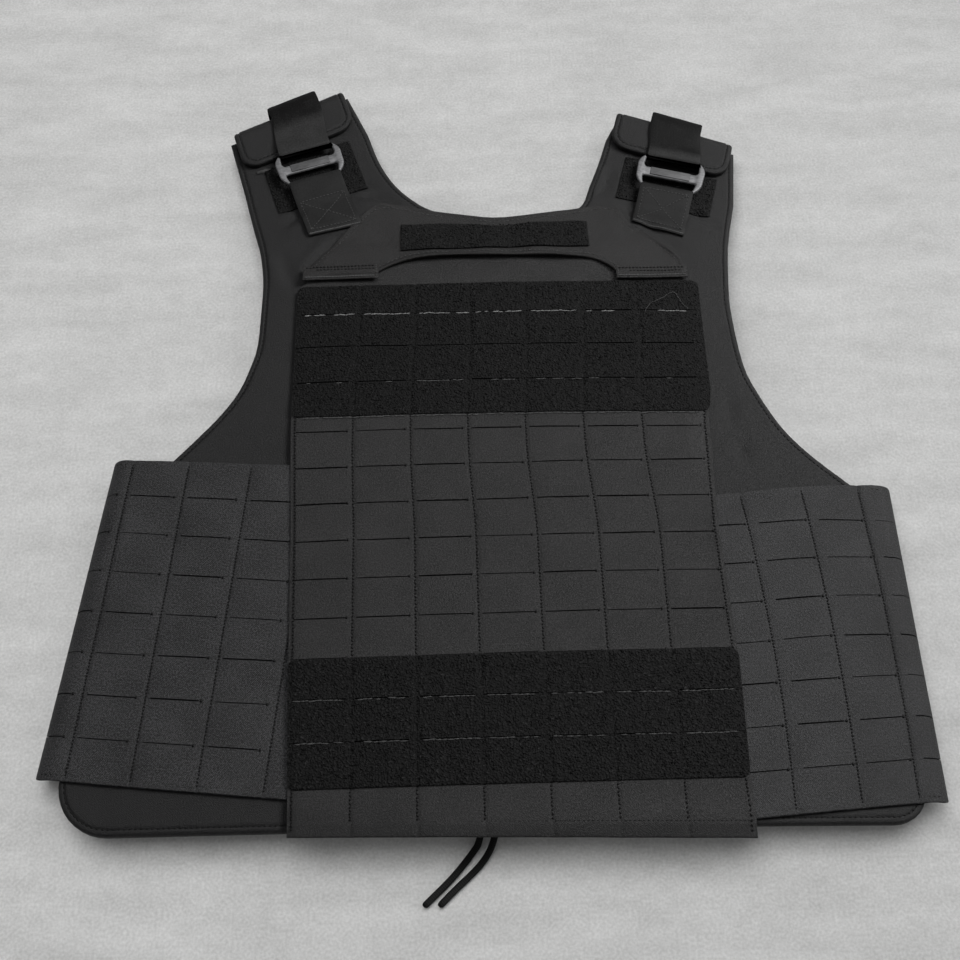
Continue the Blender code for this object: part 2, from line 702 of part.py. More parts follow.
def rounded_box(wide, low, high, radius, pieces):
    """A rounded rectangle in plan, clockwise."""
    half = wide / 2
    corners = [(-half, low), (-half, high), (half, high), (half, low)]
    line = []
    for index, corner in enumerate(corners):
        line += corner_arc(corners[index - 1], corner, corners[(index + 1) % 4], radius, pieces)
    return line


def make_buckle(side, look, parent):
    """A flat frame with two slots, so three bars, its edges rounded."""
    strap = STRAPS[side]
    mesh = bmesh.new()
    outlines = [
        rounded_box(BUCKLE_WIDE, BUCKLE_FOOT, BUCKLE_TOP, BUCKLE_CORNER, 4),
        rounded_box(SLOT_WIDE, UPPER_SLOT[0], UPPER_SLOT[1], SLOT_CORNER, 3),
        rounded_box(SLOT_WIDE, LOWER_SLOT[0], LOWER_SLOT[1], SLOT_CORNER, 3),
    ]
    for line in outlines:
        verts = [mesh.verts.new((x, y, -BUCKLE_THICK / 2)) for x, y in line]
        for first, second in zip(verts, [*verts[1:], verts[0]]):
            mesh.edges.new((first, second))
    bmesh.ops.triangle_fill(mesh, use_beauty=True, use_dissolve=True, edges=mesh.edges[:])
    grown = bmesh.ops.extrude_face_region(mesh, geom=mesh.faces[:])
    top = [item for item in grown["geom"] if isinstance(item, bmesh.types.BMVert)]
    bmesh.ops.translate(mesh, verts=top, vec=(0.0, 0.0, BUCKLE_THICK))
    bmesh.ops.recalc_face_normals(mesh, faces=mesh.faces)
    rims = [edge for edge in mesh.edges if len(edge.link_faces) == 2 and edge.calc_face_angle() > 1.0
            and abs(edge.verts[0].co.z - edge.verts[1].co.z) < 0.01]
    bmesh.ops.bevel(mesh, geom=rims, offset=BUCKLE_EDGE, offset_type="OFFSET", segments=1, profile=0.5, affect="EDGES",
                    material=-1)
    for vert in mesh.verts:
        u, v, z = vert.co
        vert.co = (*local_to_plan(strap["buckle"], strap["turn"], u, v), z + BUCKLE_Z)
    finish(f"buckle_{side}", mesh, look, parent)


def make_drawcord(side, look, parent):
    line = smooth_line(DRAWCORDS[side], CORD_PIECES)
    curve = bpy.data.curves.new(f"drawcord_{side}", "CURVE")
    curve.dimensions = "3D"
    curve.bevel_depth = CORD_THICK / 2 * MM
    curve.bevel_resolution = 2
    curve.use_fill_caps = True
    spline = curve.splines.new("POLY")
    spline.points.add(len(line) - 1)
    for point, place in zip(spline.points, line):
        point.co = (*[(co - middle) * MM for co, middle in zip(place, (*FOOTPRINT_MIDDLE, 0.0))], 1.0)
    curve.materials.append(look)
    thing = bpy.data.objects.new(f"drawcord_{side}", curve)
    thing.parent = parent
    bpy.context.scene.collection.objects.link(thing)


def main():
    clear_scene()
    vest = bpy.data.objects.new("vest", None)
    bpy.context.scene.collection.objects.link(vest)
    cloth = material("black_nylon", (0.024, 0.024, 0.027), 0.8)
    loop = material("black_loop", (0.012, 0.012, 0.012), 0.95)
    webbing = material("black_webbing", (0.028, 0.028, 0.028), 0.7)
    steel = material("grey_steel", (0.3, 0.3, 0.31), 0.4, 0.9)
    make_back_panel(cloth, vest)
    make_front_panel(cloth, vest)
    make_flap(cloth, vest)
    make_loop_field("upper_loop_panel", *UPPER_LOOP, UPPER_ROWS, UPPER_LOOP_INSET, loop, vest)
    make_loop_field("lower_loop_panel", *LOWER_LOOP, LOWER_ROWS[7:9], 0.0, loop, vest)
    make_yoke(cloth, vest)
    make_yoke_piece("name_strip", *NAME_STRIP, LOOP_THICK, loop, vest)
    for side in ("left", "right"):
        make_wing(side, cloth, vest)
        make_yoke_piece(f"yoke_tab_{side}", *TABS[side], TAB_THICK, webbing, vest)
        make_patch(side, loop, vest)
        make_strap(side, webbing, vest)
        make_keeper(side, webbing, vest)
        make_buckle(side, steel, vest)
        make_drawcord(side, webbing, vest)


main()
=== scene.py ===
"""The looks of a plate carrier vest that lies on its back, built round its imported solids.

Sizes are in millimetres in the plan of the flap's slit grid, as in the part: x = 0 in the middle of its
seven columns, y = 0 at its first bare slit row, z = 0 on the floor. They become metres, about the middle of
the vest's footprint, when a mesh is made. Left and right are as seen from above, with the neck at the top.
"""

import math
import random

import bmesh
import bpy
import numpy as np
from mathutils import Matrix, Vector, noise

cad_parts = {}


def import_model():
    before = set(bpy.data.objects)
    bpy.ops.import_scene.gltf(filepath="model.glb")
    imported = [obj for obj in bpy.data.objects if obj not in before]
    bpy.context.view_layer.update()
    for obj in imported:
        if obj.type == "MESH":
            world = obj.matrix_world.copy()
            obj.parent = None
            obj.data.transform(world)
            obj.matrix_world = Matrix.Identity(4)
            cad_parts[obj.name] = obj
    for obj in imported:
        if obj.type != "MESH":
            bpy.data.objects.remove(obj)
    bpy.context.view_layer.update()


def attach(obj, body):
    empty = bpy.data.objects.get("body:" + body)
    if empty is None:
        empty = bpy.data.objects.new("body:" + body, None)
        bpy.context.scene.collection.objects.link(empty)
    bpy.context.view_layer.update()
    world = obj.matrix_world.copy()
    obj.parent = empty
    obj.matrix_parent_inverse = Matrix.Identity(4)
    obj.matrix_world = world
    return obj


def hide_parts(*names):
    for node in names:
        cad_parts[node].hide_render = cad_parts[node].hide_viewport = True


MM = 0.001
GAP = 0.3
FOOTPRINT_MIDDLE = (-15.2, 18.85)

# The slit grid.
COLUMN = 38.1
ROW = 25.4
COLUMNS = 7
SLIT_LENGTH = 31.6
SLIT_WIDTH = 0.8

# Wall thicknesses.
PANEL_THICK = 9.0
SHOULDER_THICK = 8.0
FOLD_THICK = 5.5
WING_THICK = 2.4
FLAP_THICK = 2.0
LOOP_THICK = 1.2
YOKE_THICK = 1.6
TAB_THICK = 1.2
PATCH_THICK = 1.0
WEBBING_THICK = 1.6
WEBBING_WIDE = 38.0

# Heights of the two padded panels over the floor, and the front panel's gentle dome.
BACK_UNDERSIDE = 2.7
FRONT_UNDERSIDE = 15.0
SHOULDER_DROP = 4.0
DOME_RISE = 7.0
DOME_HALF_WIDTH = 236.0
DOME_FADES = (90.0, 235.0)
SHOULDER_FADES = (-110.0, -38.0)
RIM = 4.0
RIM_FULLNESS = 0.34

# Folds of the front panel's cloth: from, to, depth, width. Beside each runs a ridge, at a share of its depth
# and so many widths off.
CREASES = (
    ((-99.0, 208.4), (-87.2, 209.8), -1.8, 2.6), ((-95.0, 201.3), (-70.5, 190.6), -2.6, 3.0),
    ((-153.0, 188.7), (-143.5, 190.0), -1.6, 2.4), ((-149.6, 172.1), (-138.4, 183.8), -1.6, 3.0),
    ((-110.5, 158.5), (-129.0, 132.0), -2.8, 3.0), ((140.7, 180.6), (160.0, 165.5), -2.2, 2.8),
    ((88.5, 224.0), (79.5, 198.0), -2.2, 3.2), ((90.0, 187.0), (99.5, 175.0), -2.4, 2.6),
    ((104.0, 172.0), (130.0, 141.0), -1.8, 3.2), ((-150.0, 150.0), (-141.0, 120.0), -1.6, 4.0),
)
CREASE_RIDGE = 0.6
CREASE_RIDGE_OFF = 2.2

# Plan of the panels, from the shoulder down the armhole to the hidden stretch under the wing.
LEFT_ARMHOLE = (
    (-181.0, 212.5), (-173.3, 182.0), (-165.6, 153.5), (-161.8, 127.5), (-161.8, 104.0), (-163.1, 74.0),
    (-167.0, 57.0), (-174.0, 38.0), (-185.0, 21.0), (-198.5, 5.0), (-215.0, -13.0), (-234.0, -33.0),
)
RIGHT_ARMHOLE = (
    (174.4, 187.0), (165.1, 147.0), (160.8, 110.0), (160.4, 86.0), (163.5, 48.6), (169.9, 28.0), (183.1, 1.0),
    (199.9, -20.2), (222.8, -42.0),
)
NECK = (
    (-90.5, 260.0), (-81.2, 231.0), (-69.5, 208.0), (-56.5, 193.0), (-43.0, 183.5), (-22.0, 178.5),
    (0.0, 174.8), (25.0, 177.0), (54.0, 180.5), (64.5, 188.0), (71.0, 206.0), (79.0, 227.5), (86.3, 250.0),
)
LEFT_SIDE_TOP = (-250.0, -62.0)
LEFT_CORNER = (-268.5, -250.2)
LEFT_CORNER_RADIUS = 31.0
RIGHT_SIDE_TOP = (237.0, -68.0)
RIGHT_CORNER = (236.5, -257.0)
RIGHT_CORNER_RADIUS = 21.0

# Each shoulder: middle of the fold, the way the fold line runs, how the turned flap leans, and where
# the front panel's own straight end runs across it.
SHOULDERS = {
    "left": {"fold": (-145.9, 272.6), "turn": 26.5, "lean": -0.16, "drop": 28.0,
             "front_end": (-50.0, 46.0)},
    "right": {"fold": (134.1, 248.8), "turn": -22.4, "lean": 0.12, "drop": 24.5,
              "front_end": (-43.0, 48.0)},
}
TURNED_HALF = 44.6
TURNED_CORNER = 13.0
TURNED_ROOT = -12.0
FRONT_END = 3.4
FOLD_CENTRE_Z = 13.75
FOLD_MIDDLE_RADIUS = 8.3
FOLD_LENGTH = math.pi * FOLD_MIDDLE_RADIUS

# Each strap: middle of the buckle, the way its bars run, the slant, place and reach of the strap's fold, how far
# it leans there, where the keeper ends, leans and slants, and how far the strap's own end is tucked back.
STRAPS = {
    "left": {"buckle": (-131.5, 225.4), "turn": 17.3, "slant": 0.15, "fold_at": 53.0, "reach": 19.0,
             "lean": 3.5, "keeper_end": -62.6, "keeper_lean": 0.9, "hem_slant": -0.06, "tuck": 6.0},
    "right": {"buckle": (129.0, 208.2), "turn": -15.5, "slant": -0.11, "fold_at": 44.0, "reach": 17.0,
              "lean": -3.8, "keeper_end": -48.2, "keeper_lean": 0.0, "hem_slant": -0.1, "tuck": 0.8},
}
STRAP_BACK_END = -38.0
KEEPER_SEWN = 38.0

# The three-bar buckle, in its own plan: x across the strap, y along it.
BUCKLE_WIDE = 49.0
BUCKLE_TOP = 17.5
BUCKLE_FOOT = -17.0
BUCKLE_CORNER = 12.0
BUCKLE_THICK = 2.6
BUCKLE_Z = 26.5
SLOT_WIDE = 40.0
UPPER_SLOT = (3.75, 14.6)
LOWER_SLOT = (-12.6, -3.75)
SLOT_CORNER = 2.6
UPPER_BAR = (UPPER_SLOT[1] + BUCKLE_TOP) / 2
LOWER_BAR = (LOWER_SLOT[0] + BUCKLE_FOOT) / 2

# The wings: fold line, inner ends of the front leg, inner ends of the back leg (top, then bottom), how far out
# each stitched column runs from the front leg's inner end (top, then bottom) and bows between them, how the
# inner end sags, which columns are pressed into a crease and how deep, and where each column's slits lie.
WINGS = {
    "left": {"fold": ((-253.6, -11.4), (-280.6, -216.6)), "front": ((-60.0, -17.6), (-60.0, -243.0)),
             "back": ((-88.0, -15.0), (-98.0, -221.0)), "side": -1, "creased": ((2, 0.1),),
             "sag": 11.0, "top_sag": 4.5, "bulge": 0.0, "bow": (0.0, 0.0, 0.0),
             "columns": ((109.1, 116.1), (152.6, 152.3), (191.6, 187.8)), "slit": (7.0, 35.6)},
    "right": {"fold": ((248.8, -43.8), (249.8, -245.4)), "front": ((60.0, -47.0), (60.0, -257.9)),
              "back": ((92.0, -43.8), (92.0, -249.0)), "side": 1, "creased": ((0, 0.3), (2, 0.7)),
              "sag": 0.0, "top_sag": 7.0, "bulge": 1.9, "bow": (4.0, 3.2, 2.3),
              "columns": ((89.1, 97.5), (128.6, 136.0), (165.7, 169.8)), "slit": (6.6, 34.6)},
}
WING_ROWS = 7
WING_CREST = 12.8
WING_TUCK = 8.0
WING_LIFT = 0.18
WING_HEIGHT = ROW * (WING_ROWS + 1)

# The flap's outline: y, then the x of its left and right edge. Its hem runs down to the right.
FLAP_EDGES = (
    (140.0, -119.0, 121.0), (131.0, -129.0, 127.5), (117.0, -130.5, 129.0), (111.5, -136.2, 138.4),
    (60.0, -137.0, 138.0), (28.0, -137.5, 138.0), (5.0, -137.6, 134.8), (-70.0, -135.0, 132.4),
    (-155.0, -133.5, 134.8), (-228.0, -131.3, 133.2), (-259.5, -130.8, 134.2),
)
FLAP_TOP = 140.0
FLAP_HEM = -259.5
FLAP_HEM_SLOPE = -0.027
FLAP_SETTLES = (-10.0, 40.0)
FLAP_HALF = COLUMNS * COLUMN / 2 + 1.0
UPPER_ROWS = (87.7, 62.3, 36.9)
LOWER_ROWS = tuple(-ROW * row for row in range(10))
UPPER_LOOP = (11.3, 112.5)
LOWER_LOOP = (-229.8, -152.6)

# How far the upper rows have crept up: y, then at the left edge and at the right edge.
ROW_CREEP = (
    (112.5, 2.8, 0.7), (87.7, 4.3, 0.9), (62.3, 3.8, 0.0), (36.9, 1.9, -1.5), (0.0, 1.3, -1.1),
    (-28.0, 0.0, 0.0),
)

# The yoke's outline: up the left side, along the neckline, down the right side, back along the hem.
YOKE_LEFT = ((-131.0, 121.5), (-126.5, 136.0), (-96.6, 174.0), (-88.0, 184.4), (-79.0, 188.0),
             (-62.0, 185.2))
YOKE_NECK = ((-46.0, 180.5), (-22.0, 176.3), (0.0, 172.8), (25.0, 175.0), (53.0, 178.6))
YOKE_RIGHT = ((74.0, 183.4), (87.5, 181.0), (96.2, 165.6), (108.5, 154.5), (128.5, 132.0), (131.0, 118.0))
YOKE_HEM = ((84.0, 118.5), (78.5, 126.0), (66.0, 132.4), (44.0, 134.6), (3.0, 135.6), (-27.0, 136.4),
            (-56.0, 135.2), (-72.0, 130.6), (-84.0, 123.5))
YOKE_ARCH_LIFT = 2.2
YOKE_ARCH_SPAN = (40.0, 78.0)
YOKE_ARCH_DEPTH = (134.0, 158.0)
YOKE_STEPS_DOWN = (142.0, 158.0)
NAME_STRIP = ((-65.5, 142.3), (65.6, 166.6))
TABS = {"left": ((-133.0, 119.4), (-81.0, 131.6)), "right": ((82.5, 114.6), (131.5, 124.6))}
TAB_CLEAR = 0.35

# The loop fields on the shoulders, in each strap's own plan.
PATCHES = {"left": ((-32.5, -31.5), (34.0, 12.0)), "right": ((-34.5, -25.2), (34.0, 10.0))}

# How much higher one end of each reaches: its right end if above 0, its left end if below.
PATCH_RISE = {"left": 6.0, "right": -5.0}

# The two drawcords: points on their middle lines, from between the panels' hems to the bare end on the floor.
CORD_THICK = 4.0
DRAWCORDS = {
    "left": ((-20.5, -248.5, 13.6), (-22.0, -254.0, 11.6), (-23.7, -258.6, 8.0), (-27.2, -262.8, 4.5),
             (-32.4, -268.8, 2.8), (-39.3, -276.2, 2.1), (-47.2, -283.6, 2.1), (-55.4, -291.0, 2.1)),
    "right": ((-12.5, -248.5, 13.6), (-13.6, -254.0, 11.6), (-15.2, -258.4, 8.0), (-17.6, -262.8, 4.5),
              (-22.1, -268.6, 2.8), (-28.8, -275.0, 2.1), (-36.6, -281.8, 2.1), (-46.6, -291.2, 2.1)),
}

# The camera over the vest's hem, as it looked down on it.
CAMERA_PLACE = (-26.5, -399.0, 775.3)
CAMERA_TILT = 26.06
CAMERA_HEADING = -1.69
LENS = 48.75

# Sewing, and the rounded edge of thin cloth.
THREAD_PITCH = 3.2
ZIGZAG_PITCH = 2.2
ZIGZAG_SWING = 0.75
EDGE_RINGS = (0.3, 0.5)
CLOTH_RIM = 0.8
CLOTH_FULLNESS = 0.5


def ease(value, start, end):
    """0 at start, 1 at end, with no corner at either."""
    part = min(1.0, max(0.0, (value - start) / (end - start)))
    return part * part * (3.0 - 2.0 * part)


def bell(value, width):
    """1 at 0, falling away to both sides."""
    return math.exp(-((value / width) ** 2))


def table_value(rows, at, column):
    """Reads a falling table at one y, straight between its rows."""
    for high, low in zip(rows, rows[1:]):
        if at >= low[0]:
            part = max(0.0, (high[0] - at) / (high[0] - low[0]))
            return high[column] + part * (low[column] - high[column])
    return rows[-1][column]


def smooth_line(points, pieces):
    """A Catmull-Rom curve through the points."""
    ends = [points[0], *points, points[-1]]
    line = []
    for a, b, c, d in zip(ends, ends[1:], ends[2:], ends[3:]):
        for piece in range(pieces):
            t = piece / pieces
            line.append(tuple(
                0.5 * (2 * q + (r - p) * t + (2 * p - 5 * q + 4 * r - s) * t**2
                       + (3 * q - p - 3 * r + s) * t**3)
                for p, q, r, s in zip(a, b, c, d)
            ))
    line.append(tuple(points[-1]))
    return line


def corner_arc(before, corner, after, radius, pieces):
    """A rounded corner between two straight sides."""
    corner = Vector(corner)
    first = (Vector(before) - corner).normalized()
    second = (Vector(after) - corner).normalized()
    half = first.angle(second) / 2
    middle = corner + (first + second).normalized() * radius / math.sin(half)
    start = corner + first * radius / math.tan(half) - middle
    end = corner + second * radius / math.tan(half) - middle
    sweep = start.angle_signed(end)
    turned = []
    for piece in range(pieces + 1):
        angle = -sweep * piece / pieces
        turned.append((
            middle.x + start.x * math.cos(angle) - start.y * math.sin(angle),
            middle.y + start.x * math.sin(angle) + start.y * math.cos(angle),
        ))
    return turned


def distances(spots):
    """How far along a line each of its points lies."""
    reached = [0.0]
    for before, after in zip(spots, spots[1:]):
        reached.append(reached[-1] + (after - before).length)
    return reached


def uneven(x, y, wide, tall, seed):
    """A smooth random value about 0, in lumps of that size."""
    return noise.noise(Vector((x / wide, y / tall, seed)))


def nearest(rows, y):
    return min(rows, key=lambda row: abs(y - row))


def local_to_plan(origin, turn, u, v):
    angle = math.radians(turn)
    return (
        origin[0] + u * math.cos(angle) - v * math.sin(angle),
        origin[1] + u * math.sin(angle) + v * math.cos(angle),
    )


def plan_to_local(origin, turn, x, y):
    return local_to_plan((0.0, 0.0), -turn, x - origin[0], y - origin[1])


def up_shoulder(x, y):
    """0 down on the chest, 1 from just below the shoulder's turned flap upward."""
    shoulder = SHOULDERS["left" if x < 0.0 else "right"]
    return ease(plan_to_local(shoulder["fold"], shoulder["turn"], x, y)[1], *SHOULDER_FADES)


def creases(x, y):
    """The sharp folds of the cloth round the shoulders, each a valley with a lower ridge beside it."""
    total = 0.0
    for (x0, y0), (x1, y1), depth, width in CREASES:
        long = math.hypot(x1 - x0, y1 - y0)
        along = ((x - x0) * (x1 - x0) + (y - y0) * (y1 - y0)) / long**2
        if -0.1 < along < 1.3:
            off = ((x - x0) * (y1 - y0) - (y - y0) * (x1 - x0)) / long
            fade = ease(along, -0.1, 0.3) * (1.0 - ease(along, 0.75, 1.3))
            ridge = CREASE_RIDGE * bell(off - CREASE_RIDGE_OFF * width, width)
            total += depth * fade * (bell(off, width) - ridge)
    return total


def swell(x, y):
    """The padding's slow unevenness under the cloth, and the dent beside the flap's right edge."""
    level = 1.0 - up_shoulder(x, y)
    slow = 0.8 * uneven(x, y, 75.0, 75.0, 3.1)
    quick = 0.6 * uneven(x, y, 26.0, 26.0, 7.7)
    beside = ease(x, 140.0, 146.0) * ease(y, -40.0, -26.0)
    upper_dent = bell(x - 150.0, 4.0) * bell(y - 12.0, 12.0)
    lower_dent = bell(x - 155.0, 4.0) * bell(y + 16.0, 9.0)
    dents = -2.8 * (upper_dent + lower_dent)
    return level * (slow + quick + beside * dents) + creases(x, y)


def back_thick(x, y):
    return PANEL_THICK - (PANEL_THICK - FOLD_THICK) * up_shoulder(x, y)


def front_under(x, y):
    level = 1.0 - up_shoulder(x, y)
    dome = DOME_RISE * max(0.0, 1.0 - (x / DOME_HALF_WIDTH) ** 2) * (1.0 - ease(y, *DOME_FADES))
    return FRONT_UNDERSIDE - SHOULDER_DROP * (1.0 - level) + dome * level


def front_top(x, y):
    thick = PANEL_THICK - (PANEL_THICK - SHOULDER_THICK) * up_shoulder(x, y)
    return front_under(x, y) + thick + swell(x, y)


def flap_under(x, y):
    """The flap lies on the wings below, and comes down on the panel above them."""
    return front_top(x, y) + GAP + (WING_THICK + GAP) * (1.0 - ease(y, *FLAP_SETTLES))


def flap_top(x, y):
    return flap_under(x, y) + FLAP_THICK


def yoke_under(x, y):
    """The yoke comes down from the flap's top edge to the panel, and its hem stands off in the middle."""
    over_flap = (FLAP_THICK + GAP) * (1.0 - ease(y, *YOKE_STEPS_DOWN))
    arch = YOKE_ARCH_LIFT * (1.0 - ease(abs(x), *YOKE_ARCH_SPAN)) * (1.0 - ease(y, *YOKE_ARCH_DEPTH))
    return front_top(x, y) + 2 * GAP + over_flap + arch


def yoke_top(x, y):
    return yoke_under(x, y) + YOKE_THICK


def world(point):
    return Vector((point[0] - FOOTPRINT_MIDDLE[0], point[1] - FOOTPRINT_MIDDLE[1], point[2])) * MM


# Finishes.


class Wire:
    """A number that runs through a finish. Python's operators on it add Math nodes."""

    def __init__(self, finish, socket):
        self.finish = finish
        self.socket = socket

    def __add__(self, other):
        return self.finish.maths("ADD", self, other)

    def __sub__(self, other):
        return self.finish.maths("SUBTRACT", self, other)

    def __rsub__(self, other):
        return self.finish.maths("SUBTRACT", other, self)

    def __mul__(self, other):
        return self.finish.maths("MULTIPLY", self, other)

    def __truediv__(self, other):
        return self.finish.maths("DIVIDE", self, other)

    __radd__ = __add__
    __rmul__ = __mul__

    def sin(self):
        return self.finish.maths("SINE", self)

    def absolute(self):
        return self.finish.maths("ABSOLUTE", self)

    def clamped(self):
        return self.finish.maths("MINIMUM", self.finish.maths("MAXIMUM", self, 0.0), 1.0)


class Finish:
    """A material and the nodes that give it its weave, pile or grain."""

    def __init__(self, name, roughness, metallic=0.0):
        self.material = bpy.data.materials.new(name)
        self.material.use_nodes = True
        self.tree = self.material.node_tree
        self.shader = self.tree.nodes["Principled BSDF"]
        self.shader.inputs["Roughness"].default_value = roughness
        self.shader.inputs["Metallic"].default_value = metallic

    def node(self, kind, settings, sockets):
        made = self.tree.nodes.new(kind)
        for key, value in settings.items():
            if key == "stops":
                ramp = made.color_ramp
                ramp.elements.remove(ramp.elements[1])
                ramp.elements[0].position, ramp.elements[0].color = value[0]
                for position, colour in value[1:]:
                    ramp.elements.new(position).color = colour
            else:
                setattr(made, key, value)
        for key, value in sockets.items():
            self.join(value, made.inputs[key])
        return made

    def join(self, value, socket):
        if isinstance(value, Wire):
            self.tree.links.new(value.socket, socket)
        elif isinstance(value, bpy.types.NodeSocket):
            self.tree.links.new(value, socket)
        else:
            socket.default_value = value

    def maths(self, operation, *values):
        made = self.node("ShaderNodeMath", {"operation": operation}, dict(enumerate(values)))
        return Wire(self, made.outputs[0])

    def place(self, layer=None):
        """The piece's own cloth plan in millimetres, or its place in the room in millimetres."""
        if layer:
            found = self.node("ShaderNodeUVMap", {"uv_map": layer}, {})
            return found.outputs["UV"]
        found = self.node("ShaderNodeTexCoord", {}, {})
        sockets = {"Vector": found.outputs["Object"], "Scale": (1.0 / MM,) * 3}
        scaled = self.node("ShaderNodeMapping", {}, sockets)
        return scaled.outputs["Vector"]

    def parts(self, vector):
        split = self.node("ShaderNodeSeparateXYZ", {}, {"Vector": vector})
        return [Wire(self, split.outputs[axis]) for axis in "XYZ"]

    def noise(self, vector, size, detail=2.0):
        """A cloudy value about 0.5 whose lumps are about that many millimetres across."""
        sockets = {"Vector": vector, "Scale": 1.0 / size, "Detail": detail}
        made = self.node("ShaderNodeTexNoise", {}, sockets)
        return Wire(self, made.outputs["Fac"])

    def shade(self, dark, light, amount):
        """The base colour, from dark at 0 to light at 1."""
        stops = ((0.0, (*dark, 1.0)), (1.0, (*light, 1.0)))
        ramp = self.node("ShaderNodeValToRGB", {"stops": stops}, {"Fac": amount})
        self.join(ramp.outputs["Color"], self.shader.inputs["Base Color"])

    def bump(self, height, distance, strength=1.0):
        sockets = {"Height": height, "Distance": distance * MM, "Strength": strength}
        made = self.node("ShaderNodeBump", {}, sockets)
        self.join(made.outputs["Normal"], self.shader.inputs["Normal"])

    def set(self, **values):
        for key, value in values.items():
            self.join(value, self.shader.inputs[key.replace("_", " ")])


def nylon_finish(name, dark, light, pitch, hem=None):
    """Coated plain weave with a mottled grain and slow changes of tone, and painted shade below a hem's height, where
    the turned-down hem faces away from the light.
    """
    finish = Finish(name, 0.62)
    plan = finish.place("weave")
    u, v, _ = finish.parts(plan)
    turns = 2.0 * math.pi / pitch
    threads = (u * turns).sin() * (v * turns).sin()
    grain = finish.noise(plan, 1.1, 4.0)
    specks = finish.noise(plan, 0.55, 2.0)
    patches = finish.noise(plan, 30.0, 3.0)
    tone = 0.35 + 3.0 * (grain - 0.5) + 2.4 * (specks - 0.5) + 1.1 * (patches - 0.5) + 0.1 * threads
    # Painted shade: the tone drops below the hem's height, as the turned-down hem faces away from the light.
    if hem:
        tone = tone - 0.3 * ((hem - v) / 1.5).clamped()
    finish.shade(dark, light, tone.clamped())
    finish.bump(0.35 * threads + 1.3 * grain + 1.1 * specks, 0.3, 1.0)
    finish.set(Roughness=0.5 + 0.2 * patches, Specular_IOR_Level=0.12)
    finish.set(Sheen_Weight=0.015, Sheen_Roughness=0.5)
    return finish.material


def pile_finish(name, dark, light):
    """Brushed loop: dense dark curls with painted highlights, paler curls where the light would catch them."""
    finish = Finish(name, 0.95)
    place = finish.place()
    curls = finish.noise(place, 1.5, 3.0)
    # Painted highlights: sparse paler curls in the base colour.
    specks = (finish.noise(place, 1.3, 2.0) - 0.6) * 9.0
    worn = finish.noise(place, 24.0, 2.0)
    finish.shade(dark, light, (0.05 + specks + 0.35 * (worn - 0.5)).clamped())
    finish.bump(curls + 0.5 * specks, 0.6, 1.0)
    finish.set(Specular_IOR_Level=0.08, Roughness=0.8)
    return finish.material


def webbing_finish(name, dark, light, painted_light_from):
    """Fine webbing: slanted picks between two woven edges, with painted light and shade: darker up to the given
    distance along it and paler past it.
    """
    finish = Finish(name, 0.6)
    plan = finish.place("weave")
    u, v, _ = finish.parts(plan)
    ribs = (u * (2.0 * math.pi / 1.9)).sin()
    picks = ((v + u.absolute() * 0.6) * (2.0 * math.pi / 1.3)).sin()
    worn = finish.noise(plan, 12.0, 3.0)
    grain = finish.noise(plan, 1.2, 3.0)
    # Painted light and shade: the webbing is darker before the given distance along it and paler past it.
    lit = ((v - painted_light_from) / 9.0).clamped()
    tone = 0.03 + 0.04 * ribs * picks + 0.9 * (grain - 0.5) + 0.5 * (worn - 0.5) + 0.5 * lit
    finish.shade(dark, light, tone.clamped())
    finish.bump(ribs * 0.12 + picks * 0.2 + grain, 0.16, 0.7)
    finish.set(Roughness=0.6 + 0.15 * worn, Specular_IOR_Level=0.05)
    return finish.material


def steel_finish(name, dark, light):
    """Grey metal brushed across the strap, with paler worn spots."""
    finish = Finish(name, 0.6, 0.35)
    plan = finish.place("weave")
    stretched = finish.node("ShaderNodeMapping", {}, {"Vector": plan, "Scale": (0.1, 1.0, 1.0)})
    brushed = finish.noise(stretched.outputs["Vector"], 0.7, 3.0)
    cloud = finish.noise(plan, 6.0, 3.0)
    finish.shade(dark, light, (0.5 + 1.6 * (brushed - 0.5) + 1.0 * (cloud - 0.5)).clamped())
    finish.bump(brushed, 0.08, 0.8)
    finish.set(Roughness=0.6 + 0.2 * cloud, Specular_IOR_Level=0.3)
    return finish.material


def thread_finish(name, dark, light):
    """Matt thread, lighter and darker in turns."""
    finish = Finish(name, 0.6)
    place = finish.place()
    finish.shade(dark, light, finish.noise(place, 1.5, 2.0))
    finish.bump(finish.noise(place, 0.35, 2.0), 0.08, 0.6)
    finish.set(Specular_IOR_Level=0.06)
    return finish.material


def braid_finish(name, dark, light):
    """A braided sleeve: two sets of strands that cross round the cord."""
    finish = Finish(name, 0.6)
    plan = finish.place("weave")
    u, v, _ = finish.parts(plan)
    one = (u * 8.0 + v * 2.4).sin()
    other = (u * 8.0 - v * 2.4).sin()
    finish.shade(dark, light, (0.4 + 0.2 * one * other + 0.8 * (finish.noise(plan, 3.0) - 0.3)).clamped())
    finish.bump(one * other, 0.18, 0.9)
    finish.set(Specular_IOR_Level=0.07)
    return finish.material


def floor_finish():
    """A plain pale floor with a faint mottle and soft bands."""
    finish = Finish("pale_floor", 0.8)
    place = finish.place()
    streaks = finish.node("ShaderNodeMapping", {}, {"Vector": place, "Scale": (0.3, 1.0, 1.0)})
    mottle = finish.noise(place, 1.7, 3.0)
    clouds = finish.noise(place, 9.0, 2.0)
    bands = finish.noise(streaks.outputs["Vector"], 22.0, 2.0)
    tone = 0.5 + 0.9 * (mottle - 0.5) + 0.3 * (clouds - 0.5) + 0.6 * (bands - 0.5)
    finish.shade((0.36, 0.36, 0.355), (0.70, 0.70, 0.695), tone.clamped())
    finish.bump(mottle, 0.25, 0.35)
    finish.set(Specular_IOR_Level=0.2)
    return finish.material


# Cloth, made flat and then laid.


